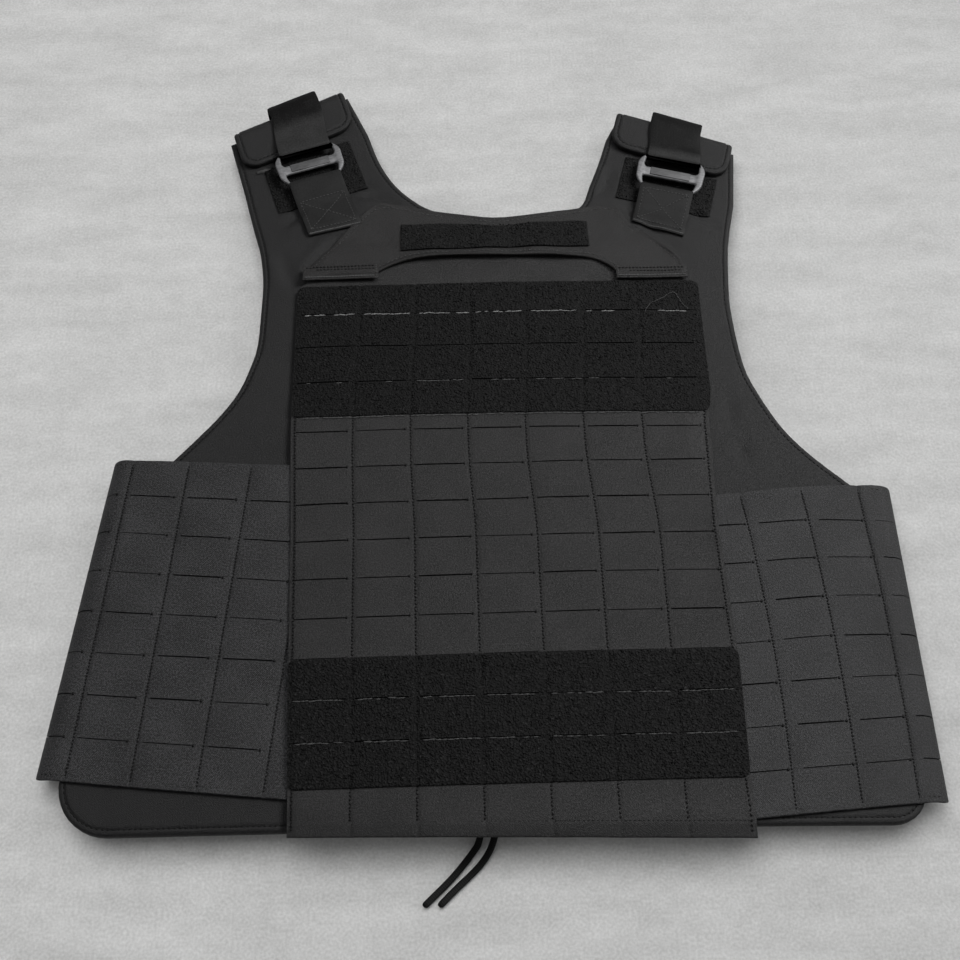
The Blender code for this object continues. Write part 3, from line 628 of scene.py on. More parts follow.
def new_sheet(outline):
    mesh = bmesh.new()
    mesh.faces.new([mesh.verts.new((x, y, 0.0)) for x, y in outline])
    bmesh.ops.recalc_face_normals(mesh, faces=mesh.faces)
    return mesh


def rectangle(low, high):
    return [low, (high[0], low[1]), high, (low[0], high[1])]


def rounded(corners, radius, pieces):
    """The outline of straight sides with each corner rounded."""
    line = []
    for index, corner in enumerate(corners):
        line += corner_arc(corners[index - 1], corner, corners[(index + 1) % len(corners)], radius, pieces)
    return line


def add_rings(mesh, widths):
    """Rings inside the outline, with z as the distance to it. Gives each ring's corners."""
    inner = mesh.faces[:]
    levels = {vert: 0.0 for vert in mesh.verts}
    reached = 0.0
    rings = []
    for width in widths:
        before = reached
        reached += width
        bmesh.ops.inset_region(mesh, faces=inner, thickness=width, use_even_offset=True, use_boundary=True)
        inside = {vert for face in inner for vert in face.verts}
        for vert in mesh.verts:
            if vert in inside:
                levels[vert] = reached
            elif vert not in levels:
                levels[vert] = before
        rings.append([vert.co.to_2d() for vert in inner[0].verts])
    for vert in mesh.verts:
        vert.co.z = levels[vert]
    return rings


def rectangle_sheet(corners, across, up):
    """A flat rectangle cut into even cells of about that size."""
    (x0, y0), (x1, y1) = corners
    mesh = new_sheet(rectangle(*corners))
    add_rings(mesh, EDGE_RINGS)
    cut_lines(mesh, 0, even_steps(x0 + 1.0, x1 - 1.0, across))
    cut_lines(mesh, 1, even_steps(y0 + 1.0, y1 - 1.0, up))
    return mesh


def cut_lines(mesh, along, places):
    """Cuts the flat sheet at each place on the x (0) or y (1) axis."""
    normal = (1.0, 0.0, 0.0) if along == 0 else (0.0, 1.0, 0.0)
    for place in places:
        point = [place * part for part in normal]
        geometry = [*mesh.verts, *mesh.edges, *mesh.faces]
        bmesh.ops.bisect_plane(mesh, geom=geometry, dist=1e-3, plane_co=point, plane_no=normal)


def even_steps(start, end, most):
    count = max(1, math.ceil((end - start) / most))
    return [start + (end - start) * step / count for step in range(1, count)]


def thin_out(places, least):
    """Drops each place that lies closer than that to the one before it."""
    kept = []
    for place in sorted(places):
        if not kept or place - kept[-1] >= least:
            kept.append(place)
    return kept


def between(fixed, start, end, most):
    """The fixed places, with even steps between them where they lie far apart."""
    stops = [start, *thin_out(fixed, 0.05), end]
    places = list(stops[1:-1])
    for low, high in zip(stops, stops[1:]):
        places += even_steps(low, high, most)
    return sorted(places)


def open_slits(mesh, slits):
    """Takes out the faces of the flat sheet that lie inside a slit, given as (x0, x1, y0, y1)."""
    gone = []
    for face in mesh.faces:
        x, y, _ = face.calc_center_median()
        if any(x0 < x < x1 and y0 < y < y1 for x0, x1, y0, y1 in slits):
            gone.append(face)
    bmesh.ops.delete(mesh, geom=gone, context="FACES")


def mark_weave(mesh):
    """Keeps each corner's place in the flat cloth, so that the weave follows the cloth."""
    layer = mesh.loops.layers.uv.new("weave")
    for face in mesh.faces:
        for loop in face.loops:
            loop[layer].uv = loop.vert.co.to_2d()


def thicken(mesh, place):
    """Makes the flat sheet a closed wall. place(x, y, inset, side) sets each corner, side 0 below, 1 above."""
    mark_weave(mesh)
    grown = bmesh.ops.extrude_face_region(mesh, geom=mesh.faces[:])
    above = {item for item in grown["geom"] if isinstance(item, bmesh.types.BMVert)}
    for vert in mesh.verts:
        vert.co = world(place(*vert.co, 1 if vert in above else 0))


def add_piece(name, data, look):
    data.materials.append(look)
    piece = bpy.data.objects.new(name, data)
    bpy.context.scene.collection.objects.link(piece)
    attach(piece, "root")
    return piece


def finish_piece(name, mesh, look, angle=40.0):
    bmesh.ops.recalc_face_normals(mesh, faces=mesh.faces)
    data = bpy.data.meshes.new(name)
    mesh.to_mesh(data)
    mesh.free()
    data.shade_smooth()
    data.set_sharp_from_angle(angle=math.radians(angle))
    return add_piece(name, data, look)


def edge_roll(low, high, inset, rim=CLOTH_RIM, fullness=CLOTH_FULLNESS):
    """The lower and upper height of a wall whose edge is rounded over that rim."""
    part = min(1.0, inset / rim)
    full = math.sqrt(max(0.0, 1.0 - (1.0 - part) ** 2))
    margin = (high - low) * (1.0 - fullness) / 2 * (1.0 - full)
    return low + margin, high - margin


# Sewing.


def grain_shape():
    """The small closed shape that every stitch and loop of pile is a copy of."""
    mesh = bmesh.new()
    bmesh.ops.create_icosphere(mesh, subdivisions=1, radius=0.5)
    corners = np.array([vert.co for vert in mesh.verts])
    faces = np.array([[vert.index for vert in face.verts] for face in mesh.faces])
    mesh.free()
    return corners, faces


def joined_grains(name, placements, look):
    """One mesh of many grains: each placement is a middle and three half-size directions, in metres."""
    corners, faces = grain_shape()
    count = len(placements)
    frames = np.array([[list(middle), *map(list, axes)] for middle, axes in placements])
    points = frames[:, None, 0] + np.einsum("cp,npk->nck", corners * 2.0, frames[:, 1:])
    index = faces[None] + np.arange(count)[:, None, None] * len(corners)
    data = bpy.data.meshes.new(name)
    data.from_pydata(points.reshape(-1, 3).tolist(), [], index.reshape(-1, 3).tolist())
    data.shade_smooth()
    return add_piece(name, data, look)


def tangents(surface, a, b, ahead):
    """Where a surface is at (a, b), the direction of a step and the surface's normal, all in metres."""
    reach = 0.4
    middle = world(surface(a, b))
    along_a = world(surface(a + reach, b)) - middle
    along_b = world(surface(a, b + reach)) - middle
    normal = along_a.cross(along_b).normalized()
    forward = (along_a * ahead[0] + along_b * ahead[1]).normalized()
    return middle, forward, normal


def stitch(surface, a, b, ahead, length, width, height, lift=0.0):
    """One stitch on a surface, as a placement for joined_grains."""
    middle, forward, normal = tangents(surface, a, b, ahead)
    sideways = normal.cross(forward)
    half = (forward * length / 2, sideways * width / 2, normal * height / 2)
    return middle + normal * lift * MM, [part * MM for part in half]


def spaced(line, pitch):
    """Points along a line every pitch, each with the way ahead."""
    places = []
    left = pitch / 2
    for start, end in zip(line, line[1:]):
        step = Vector(end) - Vector(start)
        length = step.length
        at = left
        while at < length:
            places.append((Vector(start) + step * at / length, step / length))
            at += pitch
        left = at - length
    return places


def seam(surface, line, pitch=THREAD_PITCH, length=2.2, width=0.85, height=0.7):
    """A row of lockstitches along a line on a surface."""
    size = (length, width, height)
    return [stitch(surface, *place, ahead, *size, 0.1) for place, ahead in spaced(line, pitch)]


def sew_round(name, surface, ring, look):
    """A seam that runs all round a ring inside a cloth's outline."""
    joined_grains(name, seam(surface, [*ring, ring[0]]), look)


def zigzag(surface, line, swing=ZIGZAG_SWING, pitch=ZIGZAG_PITCH):
    """A row of stitches that lean to one side and the other."""
    made = []
    for index, (place, ahead) in enumerate(spaced(line, pitch)):
        side = 1 if index % 2 else -1
        lean = Vector((ahead[0] - ahead[1] * side * 0.8, ahead[1] + ahead[0] * side * 0.8)).normalized()
        made.append(stitch(surface, *place, lean, pitch * 0.85 + swing * 0.3, 1.25, 0.95, 0.35))
    return made


def tack(surface, a, b, ahead, long, wide):
    """A bar tack: a short dense bar of thread across a slit's end."""
    return stitch(surface, a, b, ahead, long, wide, 1.1, 0.25)


# The padded panels.


def lower_outline(lift=0.0):
    """From the end of the right armhole round the hem, raised by that lift, to the left armhole."""
    right_corner = (RIGHT_CORNER[0] - lift / 2, RIGHT_CORNER[1] + lift)
    left_corner = (LEFT_CORNER[0] + lift / 2, LEFT_CORNER[1] + lift)
    right = corner_arc(RIGHT_SIDE_TOP, right_corner, left_corner, RIGHT_CORNER_RADIUS, 8)
    left = corner_arc(right_corner, left_corner, LEFT_SIDE_TOP, LEFT_CORNER_RADIUS, 10)
    return [RIGHT_SIDE_TOP, *right, *left, LEFT_SIDE_TOP]


def front_end(side):
    """The front panel's straight end at this shoulder, left to right."""
    shoulder = SHOULDERS[side]
    return [local_to_plan(shoulder["fold"], shoulder["turn"], u, FRONT_END) for u in shoulder["front_end"]]


def front_outline():
    return [
        *front_end("left"), *smooth_line(NECK, 3), *front_end("right"), *smooth_line(RIGHT_ARMHOLE, 3),
        *lower_outline(), *smooth_line(LEFT_ARMHOLE, 3)[::-1],
    ]


PANEL_RINGS = (0.35, 0.65, 1.0, 1.0, 0.7, 0.6, 0.7, 1.0)
PANEL_SEAM = 4
BACK_HEM_LIFT = 7.0


def seam_channel(inset):
    """The seam near a padded edge pulls the cloth down."""
    return -0.85 * bell(inset - 3.8, 0.8)


def make_front_panel(looks):
    mesh = new_sheet(front_outline())
    rings = add_rings(mesh, PANEL_RINGS)
    cut_lines(mesh, 1, [*even_steps(-265.0, -46.0, 8.0), *even_steps(-50.0, 285.0, 3.2)])
    cut_lines(mesh, 0, even_steps(-275.0, 245.0, 3.6))

    def place(x, y, inset, side):
        levels = edge_roll(front_under(x, y), front_top(x, y), inset, RIM, RIM_FULLNESS)
        return x, y, levels[side] + (seam_channel(inset) if side else 0.0)

    thicken(mesh, place)
    panel = finish_piece("front_panel_cloth", mesh, looks["nylon"])
    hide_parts("front_panel")

    def surface(x, y):
        return x, y, front_top(x, y) - 0.55

    sew_round("front_panel_seam", surface, rings[PANEL_SEAM], looks["thread"])


def turned_flap(side):
    """The unrolled shoulder flap, in plan, from its left side round its rounded end to its right side."""
    shoulder = SHOULDERS[side]
    half = TURNED_HALF
    length = FOLD_LENGTH + shoulder["drop"]
    root, low = (-half, TURNED_ROOT), (-half, length)
    high, end = (half, length), (half, TURNED_ROOT)
    lower = corner_arc(root, low, high, TURNED_CORNER, 8)
    upper = corner_arc(low, high, end, TURNED_CORNER, 8)
    line = [root, (-half, 0.0), *lower, *upper, (half, 0.0), end]
    return [local_to_plan(shoulder["fold"], shoulder["turn"], u, v) for u, v in line]


def back_outline():
    return [
        *turned_flap("left"), *smooth_line(NECK, 3), *turned_flap("right"), *smooth_line(RIGHT_ARMHOLE, 3),
        *lower_outline(BACK_HEM_LIFT), *smooth_line(LEFT_ARMHOLE, 3)[::-1],
    ]


def fold_over(x, y, z):
    """Bends what lies past a shoulder's fold line up and over, about the fold's middle height."""
    shoulder = SHOULDERS["left" if x < 0.0 else "right"]
    u, v = plan_to_local(shoulder["fold"], shoulder["turn"], x, y)
    if v <= 0.0 or y < 180.0:
        return x, y, z
    radius = FOLD_CENTRE_Z - z
    bend = min(math.pi, v / FOLD_MIDDLE_RADIUS)
    rest = v - bend * FOLD_MIDDLE_RADIUS
    u += shoulder["lean"] * (v - FOLD_LENGTH / 2) * ease(v, 0.0, FOLD_LENGTH)
    x, y = local_to_plan(shoulder["fold"], shoulder["turn"], u, radius * math.sin(bend) - rest)
    return x, y, FOLD_CENTRE_Z - radius * math.cos(bend)


def cut_turned_flap(mesh, side):
    """Lines across one shoulder's flap, close together where it bends over."""
    shoulder = SHOULDERS[side]
    turn = math.radians(shoulder["turn"])
    along = (-math.sin(turn), math.cos(turn), 0.0)
    for v in even_steps(-2.0, FOLD_LENGTH + 2.0, 1.6):
        point = (*local_to_plan(shoulder["fold"], shoulder["turn"], 0.0, v), 0.0)
        near = [face for face in mesh.faces if face.calc_center_median().y > 200.0
                and (face.calc_center_median().x < 0.0) == (side == "left")]
        edges = {edge for face in near for edge in face.edges}
        corners = {vert for face in near for vert in face.verts}
        geometry = [*corners, *edges, *near]
        bmesh.ops.bisect_plane(mesh, geom=geometry, dist=1e-3, plane_co=point, plane_no=along)


def make_back_panel(looks):
    mesh = new_sheet(back_outline())
    rings = add_rings(mesh, PANEL_RINGS)
    cut_lines(mesh, 1, even_steps(-265.0, 330.0, 7.0))
    cut_lines(mesh, 0, even_steps(-275.0, 245.0, 7.0))
    for side in ("left", "right"):
        cut_turned_flap(mesh, side)

    def place(x, y, inset, side):
        levels = edge_roll(BACK_UNDERSIDE, BACK_UNDERSIDE + back_thick(x, y), inset, RIM, RIM_FULLNESS)
        channel = seam_channel(inset) if side else -seam_channel(inset)
        puff = 0.5 * uneven(x, y, 24.0, 24.0, 5.5) * up_shoulder(x, y) * min(1.0, inset / RIM)
        return fold_over(x, y, levels[side] + channel - (0.0 if side else puff))

    thicken(mesh, place)
    panel = finish_piece("back_panel_cloth", mesh, looks["nylon"])
    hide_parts("back_panel")

    def outside(x, y):
        return fold_over(x, y, BACK_UNDERSIDE + 0.45)

    sew_round("back_panel_seam", outside, rings[PANEL_SEAM], looks["thread"])


# Slit cloth: the flap, its loop fields and the wings.


def cell_relief(u, v):
    """How the laser-cut cloth stands between its seams: u from a column's seam, v from a slit row."""
    across = max(0.0, math.sin(math.pi * u / COLUMN)) ** 0.6
    seam_dip = -0.55 * (bell(u, 1.5) + bell(u - COLUMN, 1.5))
    lip = (0.55 if v > 0.0 else -0.12) * math.exp(-abs(v) / 2.6) * across
    middle = 0.3 * math.sin(math.pi * abs(v) / (ROW / 2) * 0.5) * across
    return seam_dip + lip + middle


def grid_relief(x, y, rows):
    """cell_relief at a place on the flap, whose slit rows are given; level where there are none near."""
    u = (x + COLUMNS * COLUMN / 2) % COLUMN
    v = y - nearest(rows, y)
    if abs(v) > ROW / 2:
        v = math.copysign(ROW / 2, v)
    return cell_relief(u, v)


def slit_shift(column, row, v):
    """Closes or opens the slit's edge at v, so that no two slits gape alike."""
    gape = 0.7 + 0.7 * noise.noise(Vector((column * 7.31 + 0.37, row * 3.17 + 0.53, 0.5)))
    near = max(0.0, 1.0 - abs(v) / 3.0)
    return -math.copysign((1.0 - gape) * SLIT_WIDTH / 2 * near, v)


def flap_slits(rows):
    margin = (COLUMN - SLIT_LENGTH) / 2
    starts = [(column - COLUMNS / 2) * COLUMN + margin - 1.2 for column in range(COLUMNS)]
    return [(x, x + SLIT_LENGTH, y - SLIT_WIDTH / 2, y + SLIT_WIDTH / 2) for y in rows for x in starts]


def slit_cuts(slits, axis):
    """Cut places at the slits' edges and, across them, close beside those edges."""
    edges = {slit[index] for slit in slits for index in (2 * axis, 2 * axis + 1)}
    if axis == 0:
        return edges
    return edges | {y + step for y in edges for step in (-3.4, -1.4, 1.4, 3.4)}


def follow_edges(x, y):
    """Carries the straight-sided flat cloth out to the flap's real edges and hem."""
    near_side = ease(abs(x), FLAP_HALF - 9.0, FLAP_HALF - 2.0)
    edge = table_value(FLAP_EDGES, y, 1 if x < 0.0 else 2)
    near_hem = 1.0 - ease(y, FLAP_HEM + 4.0, FLAP_HEM + 22.0)
    droop = FLAP_HEM_SLOPE * x
    pulled = 1.0 - ease(abs(y + 2.0), 8.0, 78.0)
    across = (x + FLAP_HALF) / (2.0 * FLAP_HALF)
    creep = table_value(ROW_CREEP, y, 1) * (1.0 - across) + table_value(ROW_CREEP, y, 2) * across
    left_out = 2.6 * (1.0 - ease(x, -130.0, 20.0)) * ease(y, 45.0, 85.0)
    pull = pulled * (1.4 + 2.8 * ease(x, -130.0, 60.0))
    x_moved = x + near_side * (edge - math.copysign(FLAP_HALF, x)) + (left_out - pull) * (1.0 - near_side)
    return x_moved, y + near_hem * droop + creep


def column_lines():
    return [(column - COLUMNS / 2) * COLUMN for column in range(COLUMNS + 1)]


def make_flap(looks):
    rows = [*UPPER_ROWS, *LOWER_ROWS]
    slits = flap_slits(rows)
    mesh = new_sheet(rectangle((-FLAP_HALF, FLAP_HEM), (FLAP_HALF, FLAP_TOP)))
    add_rings(mesh, EDGE_RINGS)
    seams = [x + step for x in column_lines() for step in (-2.6, -1.1, 0.0, 1.1, 2.6)]
    limit = FLAP_HALF - 1.0
    places = thin_out([x for x in [*seams, *slit_cuts(slits, 0)] if abs(x) < limit], 0.25)
    cut_lines(mesh, 0, between(places, -limit, limit, 6.0))
    cut_lines(mesh, 1, between(slit_cuts(slits, 1), FLAP_HEM + 1.0, FLAP_TOP - 1.0, 4.5))
    open_slits(mesh, slits)

    def relief(x, y):
        hem = -0.5 * bell(y - FLAP_HEM - 8.5, 1.0)
        above = ease(y, UPPER_LOOP[1] - 2.0, UPPER_LOOP[1] + 4.0)
        wrinkles = 1.3 * noise.noise(Vector((x / 26.0, y / 7.0, 6.4))) * above
        return grid_relief(x, y, rows) * (1.0 - above) + hem + wrinkles

    def hem_droop(x, y):
        """The turned-up hem hangs down over the panels' edge, more so to the right."""
        return 3.9 * (1.0 - ease(y, FLAP_HEM - 4.0, FLAP_HEM + 9.0)) * (0.45 + 0.55 * ease(x, -80.0, 110.0))

    def place(x, y, inset, side):
        raised = relief(x, y)
        row = nearest(rows, y)
        y += slit_shift(math.floor(x / COLUMN + COLUMNS / 2), row / ROW, y - row)
        x, y = follow_edges(x, y)
        down = hem_droop(x, y)
        low = flap_under(x, y) + max(0.0, raised) - down
        return x, y, edge_roll(low, flap_top(x, y) + raised - down, inset)[side]

    thicken(mesh, place)
    flap = finish_piece("flap_cloth", mesh, looks["flap"])
    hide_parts("molle_flap")

    def surface(x, y):
        raised = relief(x, y)
        x, y = follow_edges(x, y)
        return x, y, flap_top(x, y) + raised - hem_droop(x, y)

    sewing = []
    bare = (LOWER_LOOP[1] - 1.0, UPPER_LOOP[0] + 1.0)
    hem = (FLAP_HEM + 9.0, LOWER_LOOP[0] + 1.0)
    for x in column_lines()[1:-1]:
        for low, high in (bare, hem):
            sewing += zigzag(surface, [(x, low), (x, high)])
    for x in (-FLAP_HALF + 3.0, FLAP_HALF - 3.0):
        sewing += zigzag(surface, [(x, FLAP_HEM + 3.0), (x, bare[1])])
    hem_line = [(-FLAP_HALF + 3.0, FLAP_HEM + 8.5), (FLAP_HALF - 3.0, FLAP_HEM + 8.5)]
    sewing += seam(surface, hem_line, 2.6, 1.8)
    for x0, x1, y0, _ in flap_slits(LOWER_ROWS[:7]):
        sewing.append(tack(surface, x1 + 0.7, y0 + SLIT_WIDTH / 2, (0.25, 1.0), 3.0, 1.3))
    joined_grains("flap_seams", sewing, looks["thread"])
    return surface


def pile_points(area, keep, step, seed):
    """Scattered places in a rectangle, about one to each step by step square, where keep(x, y) holds."""
    scatter = random.Random(seed)
    (x0, y0), (x1, y1) = area
    count = int((x1 - x0) * (y1 - y0) / step**2)
    places = ((scatter.uniform(x0, x1), scatter.uniform(y0, y1)) for _ in range(count))
    return [(x, y, scatter) for x, y in places if keep(x, y)]


def make_pile(name, area, keep, step, surface, seed, looks):
    """Small curls of thread that stand up from a loop field."""
    curls = []
    for x, y, scatter in pile_points(area, keep, step, seed):
        turn = scatter.uniform(0.0, math.pi)
        ahead = (math.cos(turn), math.sin(turn))
        size = scatter.uniform(0.7, 1.25)
        curls.append(stitch(surface, x, y, ahead, 1.5 * size, 0.55 * size, 0.95 * size, scatter.uniform(0.0, 0.3)))
    return joined_grains(name, curls, looks["pile"])


def make_loop_field(name, node, low, high, rows, seed, looks):
    """A loop field on the flap, cut with the flap's own slits, with its pile."""
    slits = flap_slits(rows)
    mesh = new_sheet(rounded(rectangle((-FLAP_HALF, low), (FLAP_HALF, high)), 4.5, 5))
    add_rings(mesh, EDGE_RINGS)
    limit = FLAP_HALF - 1.0
    seams = [x + step for x in column_lines() for step in (-1.8, 0.0, 1.8)]
    places = thin_out([x for x in [*seams, *slit_cuts(slits, 0)] if abs(x) < limit], 0.25)
    cut_lines(mesh, 0, between(places, -limit, limit, 2.6))
    cut_lines(mesh, 1, between(slit_cuts(slits, 1), low + 1.0, high - 1.0, 2.6))
    open_slits(mesh, slits)

    def top(x, y):
        """Cloth height with the seams' dips, the slits' lips and the pile's lumps."""
        u = (x + COLUMNS * COLUMN / 2) % COLUMN
        dip = -0.8 * (bell(u, 1.3) + bell(u - COLUMN, 1.3))
        v = y - nearest(rows, y)
        lips = 0.4 * math.exp(-abs(v) / 2.4) * (1.0 if v > 0.0 else -0.3)
        lumps = 0.3 * noise.noise(Vector((x / 1.9, y / 1.9, seed)))
        return LOOP_THICK + dip + lips + lumps

    def place(x, y, inset, side):
        raised = top(x, y)
        row = nearest(rows, y)
        y += slit_shift(math.floor(x / COLUMN + COLUMNS / 2), row / ROW, y - row)
        x, y = follow_edges(x, y)
        low = flap_top(x, y) + 0.15
        return x, y, edge_roll(low, low + raised, inset)[side]

    thicken(mesh, place)
    field = finish_piece(name, mesh, looks["pile"])
    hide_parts(node)

    def surface(x, y):
        raised = top(x, y)
        x, y = follow_edges(x, y)
        return x, y, flap_top(x, y) + 0.15 + raised

    def off_slits(x, y):
        corner = math.hypot(max(0.0, abs(x) - FLAP_HALF + 5.0), max(0.0, abs(y - (low + high) / 2) - (high - low) / 2 + 5.0))
        if corner > 4.4:
            return False
        return not any(x0 - 0.5 < x < x1 + 0.5 and y0 - 0.8 < y < y1 + 0.8 for x0, x1, y0, y1 in slits)

    area = ((-FLAP_HALF + 0.6, low + 0.6), (FLAP_HALF - 0.6, high - 0.6))
    pile = make_pile(f"{name}_pile", area, off_slits, 2.0, surface, seed, looks)
    return surface


def make_cut_edges(name, surface, row, shares, wide, look, seed):
    """The frayed, paler cut edge that shows along part of each slit of a row."""
    scatter = random.Random(seed)
    threads = []
    for (x0, x1, y0, _), share in zip(flap_slits((row,)), shares):
        at = x0 + scatter.uniform(0.3, 2.0)
        end = x1 - scatter.uniform(0.3, 3.0)
        while at < end:
            long = scatter.uniform(2.0, 5.0)
            if scatter.random() < share:
                y = y0 - 0.3 + scatter.uniform(-0.25, 0.25)
                size = wide * scatter.uniform(0.7, 1.15)
                ahead = (1.0, scatter.uniform(-0.06, 0.06))
                threads.append(stitch(surface, at + long / 2, y, ahead, long * 1.5, size, 0.6, 0.3))
            at += long
    joined_grains(name, threads, look)


def make_edge_thread(flap, looks):
    """The paler thread that shows here and there along the upper loop field's lower edge."""
    scatter = random.Random(27)
    threads = []
    at = -FLAP_HALF + 6.0
    while at < FLAP_HALF - 8.0:
        long = scatter.uniform(2.0, 6.0)
        if scatter.random() < 0.8:
            y = UPPER_LOOP[0] - 1.3 + scatter.uniform(-0.3, 0.3)
            threads.append(stitch(flap, at + long / 2, y, (1.0, 0.0), long * 1.4, 1.0, 0.9, 0.4))
        at += long
    joined_grains("loop_edge_thread", threads, looks["grey_thread"])


def make_hanger_tab(looks):
    """The small pale end of a hanger that shows under the left shoulder's turned flap."""
    def surface(x, y):
        return x, y, front_top(x, y)

    tab = [stitch(surface, -166.1, 226.5, (13.4, 4.3), 14.0, 3.4, 3.2, 0.5)]
    joined_grains("hanger_tab", tab, looks["soft_thread"])


def make_stray_threads(upper, flap, looks):
    """One long stray thread on the upper loop field, and lint on the cloth."""
    line = smooth_line([(99.6, 85.6), (104.0, 92.5), (110.5, 95.9), (120.1, 101.7), (124.5, 95.0), (127.9, 88.3)], 4)
    thread = [stitch(upper, *place, ahead, 1.5, 0.5, 0.4, 0.9) for place, ahead in spaced(line, 1.2)]
    joined_grains("stray_thread", thread, looks["cut_edge"])
    scatter = random.Random(33)
    lint = []
    for _ in range(26):
        x, y = scatter.uniform(-125.0, 125.0), scatter.uniform(-250.0, 0.0)
        turn = scatter.uniform(0.0, math.pi)
        size = scatter.uniform(0.4, 0.9)
        lint.append(stitch(flap, x, y, (math.cos(turn), math.sin(turn)), size * 1.6, size * 0.6, 0.4, 0.6))
    joined_grains("lint", lint, looks["cut_edge"])


def wing_reach(side, along, q):
    """How far out along the wing a place is, counted in slit columns from its first stitched one."""
    wing = WINGS[side]
    bowed = math.sin(math.pi * min(1.0, max(0.0, q)))
    columns = [top + (bottom - top) * q + bow * bowed for (top, bottom), bow in zip(wing["columns"], wing["bow"])]
    index = min(len(columns) - 2, max(0, math.floor(along)))
    return columns[index] + (along - index) * (columns[index + 1] - columns[index])


def wing_lengths(side):
    """Lengths of the wing's front leg, its fold and its back leg."""
    wing = WINGS[side]
    fold_x, front_x, back_x = (sum(point[0] for point in wing[row]) / 2 for row in ("fold", "front", "back"))
    arc = math.pi * (FRONT_UNDERSIDE + PANEL_THICK + GAP) / 2
    return abs(fold_x - front_x) - WING_CREST, arc, abs(fold_x - back_x) - WING_CREST


def wing_place(side, along, q, depth):
    """Carries the unrolled wing round its fold: along in columns, q from top to hem, depth under its outer face."""
    wing = WINGS[side]
    p = wing_reach(side, along, q)
    fold, front, back = (Vector(row[0]).lerp(Vector(row[1]), q) for row in (wing["fold"], wing["front"], wing["back"]))
    slope = (Vector(wing["fold"][1]) - Vector(wing["fold"][0])).normalized()
    outward = Vector((slope.y, -slope.x)) * -wing["side"]
    axis = fold - outward * WING_CREST
    centre_z = (FRONT_UNDERSIDE + PANEL_THICK + GAP + WING_THICK) / 2
    front_length, arc_length, back_length = wing_lengths(side)
    sag = wing["sag"] * (0.6 + 0.4 * ease(q, 0.0, 0.125)) * (1.0 - ease(q, 0.25, 0.7))
    if p < front_length:
        out = p / front_length
        spot = front.lerp(axis, out)
        spot.y -= (sag + wing["top_sag"] * (1.0 - ease(q, 0.0, 0.125))) * (1.0 - out) - WING_LIFT * sag
        spot.y += wing["bulge"] * bell(out - 0.74, 0.2) * (1.0 - ease(q, 0.45, 0.75))
        return spot.x, spot.y, front_top(spot.x, spot.y) + GAP + WING_THICK - depth
    radius = centre_z - depth
    tuck = WING_TUCK * ease(q, 0.7, 1.0)
    if p <= front_length + arc_length:
        part = (p - front_length) / arc_length
        spot = axis + outward * radius * math.sin(part * math.pi)
        settle = swell(axis.x, axis.y) * (1.0 - ease(part, 0.0, 0.5))
        lift = WING_LIFT * sag * (1.0 - ease(part, 0.0, 0.8))
        y = spot.y + tuck * ease(part, 0.2, 1.0) + lift
        return spot.x, y, centre_z + radius * math.cos(part * math.pi) + settle
    spot = axis.lerp(back, (p - front_length - arc_length) / back_length)
    return spot.x, spot.y + tuck, max(0.0, depth)


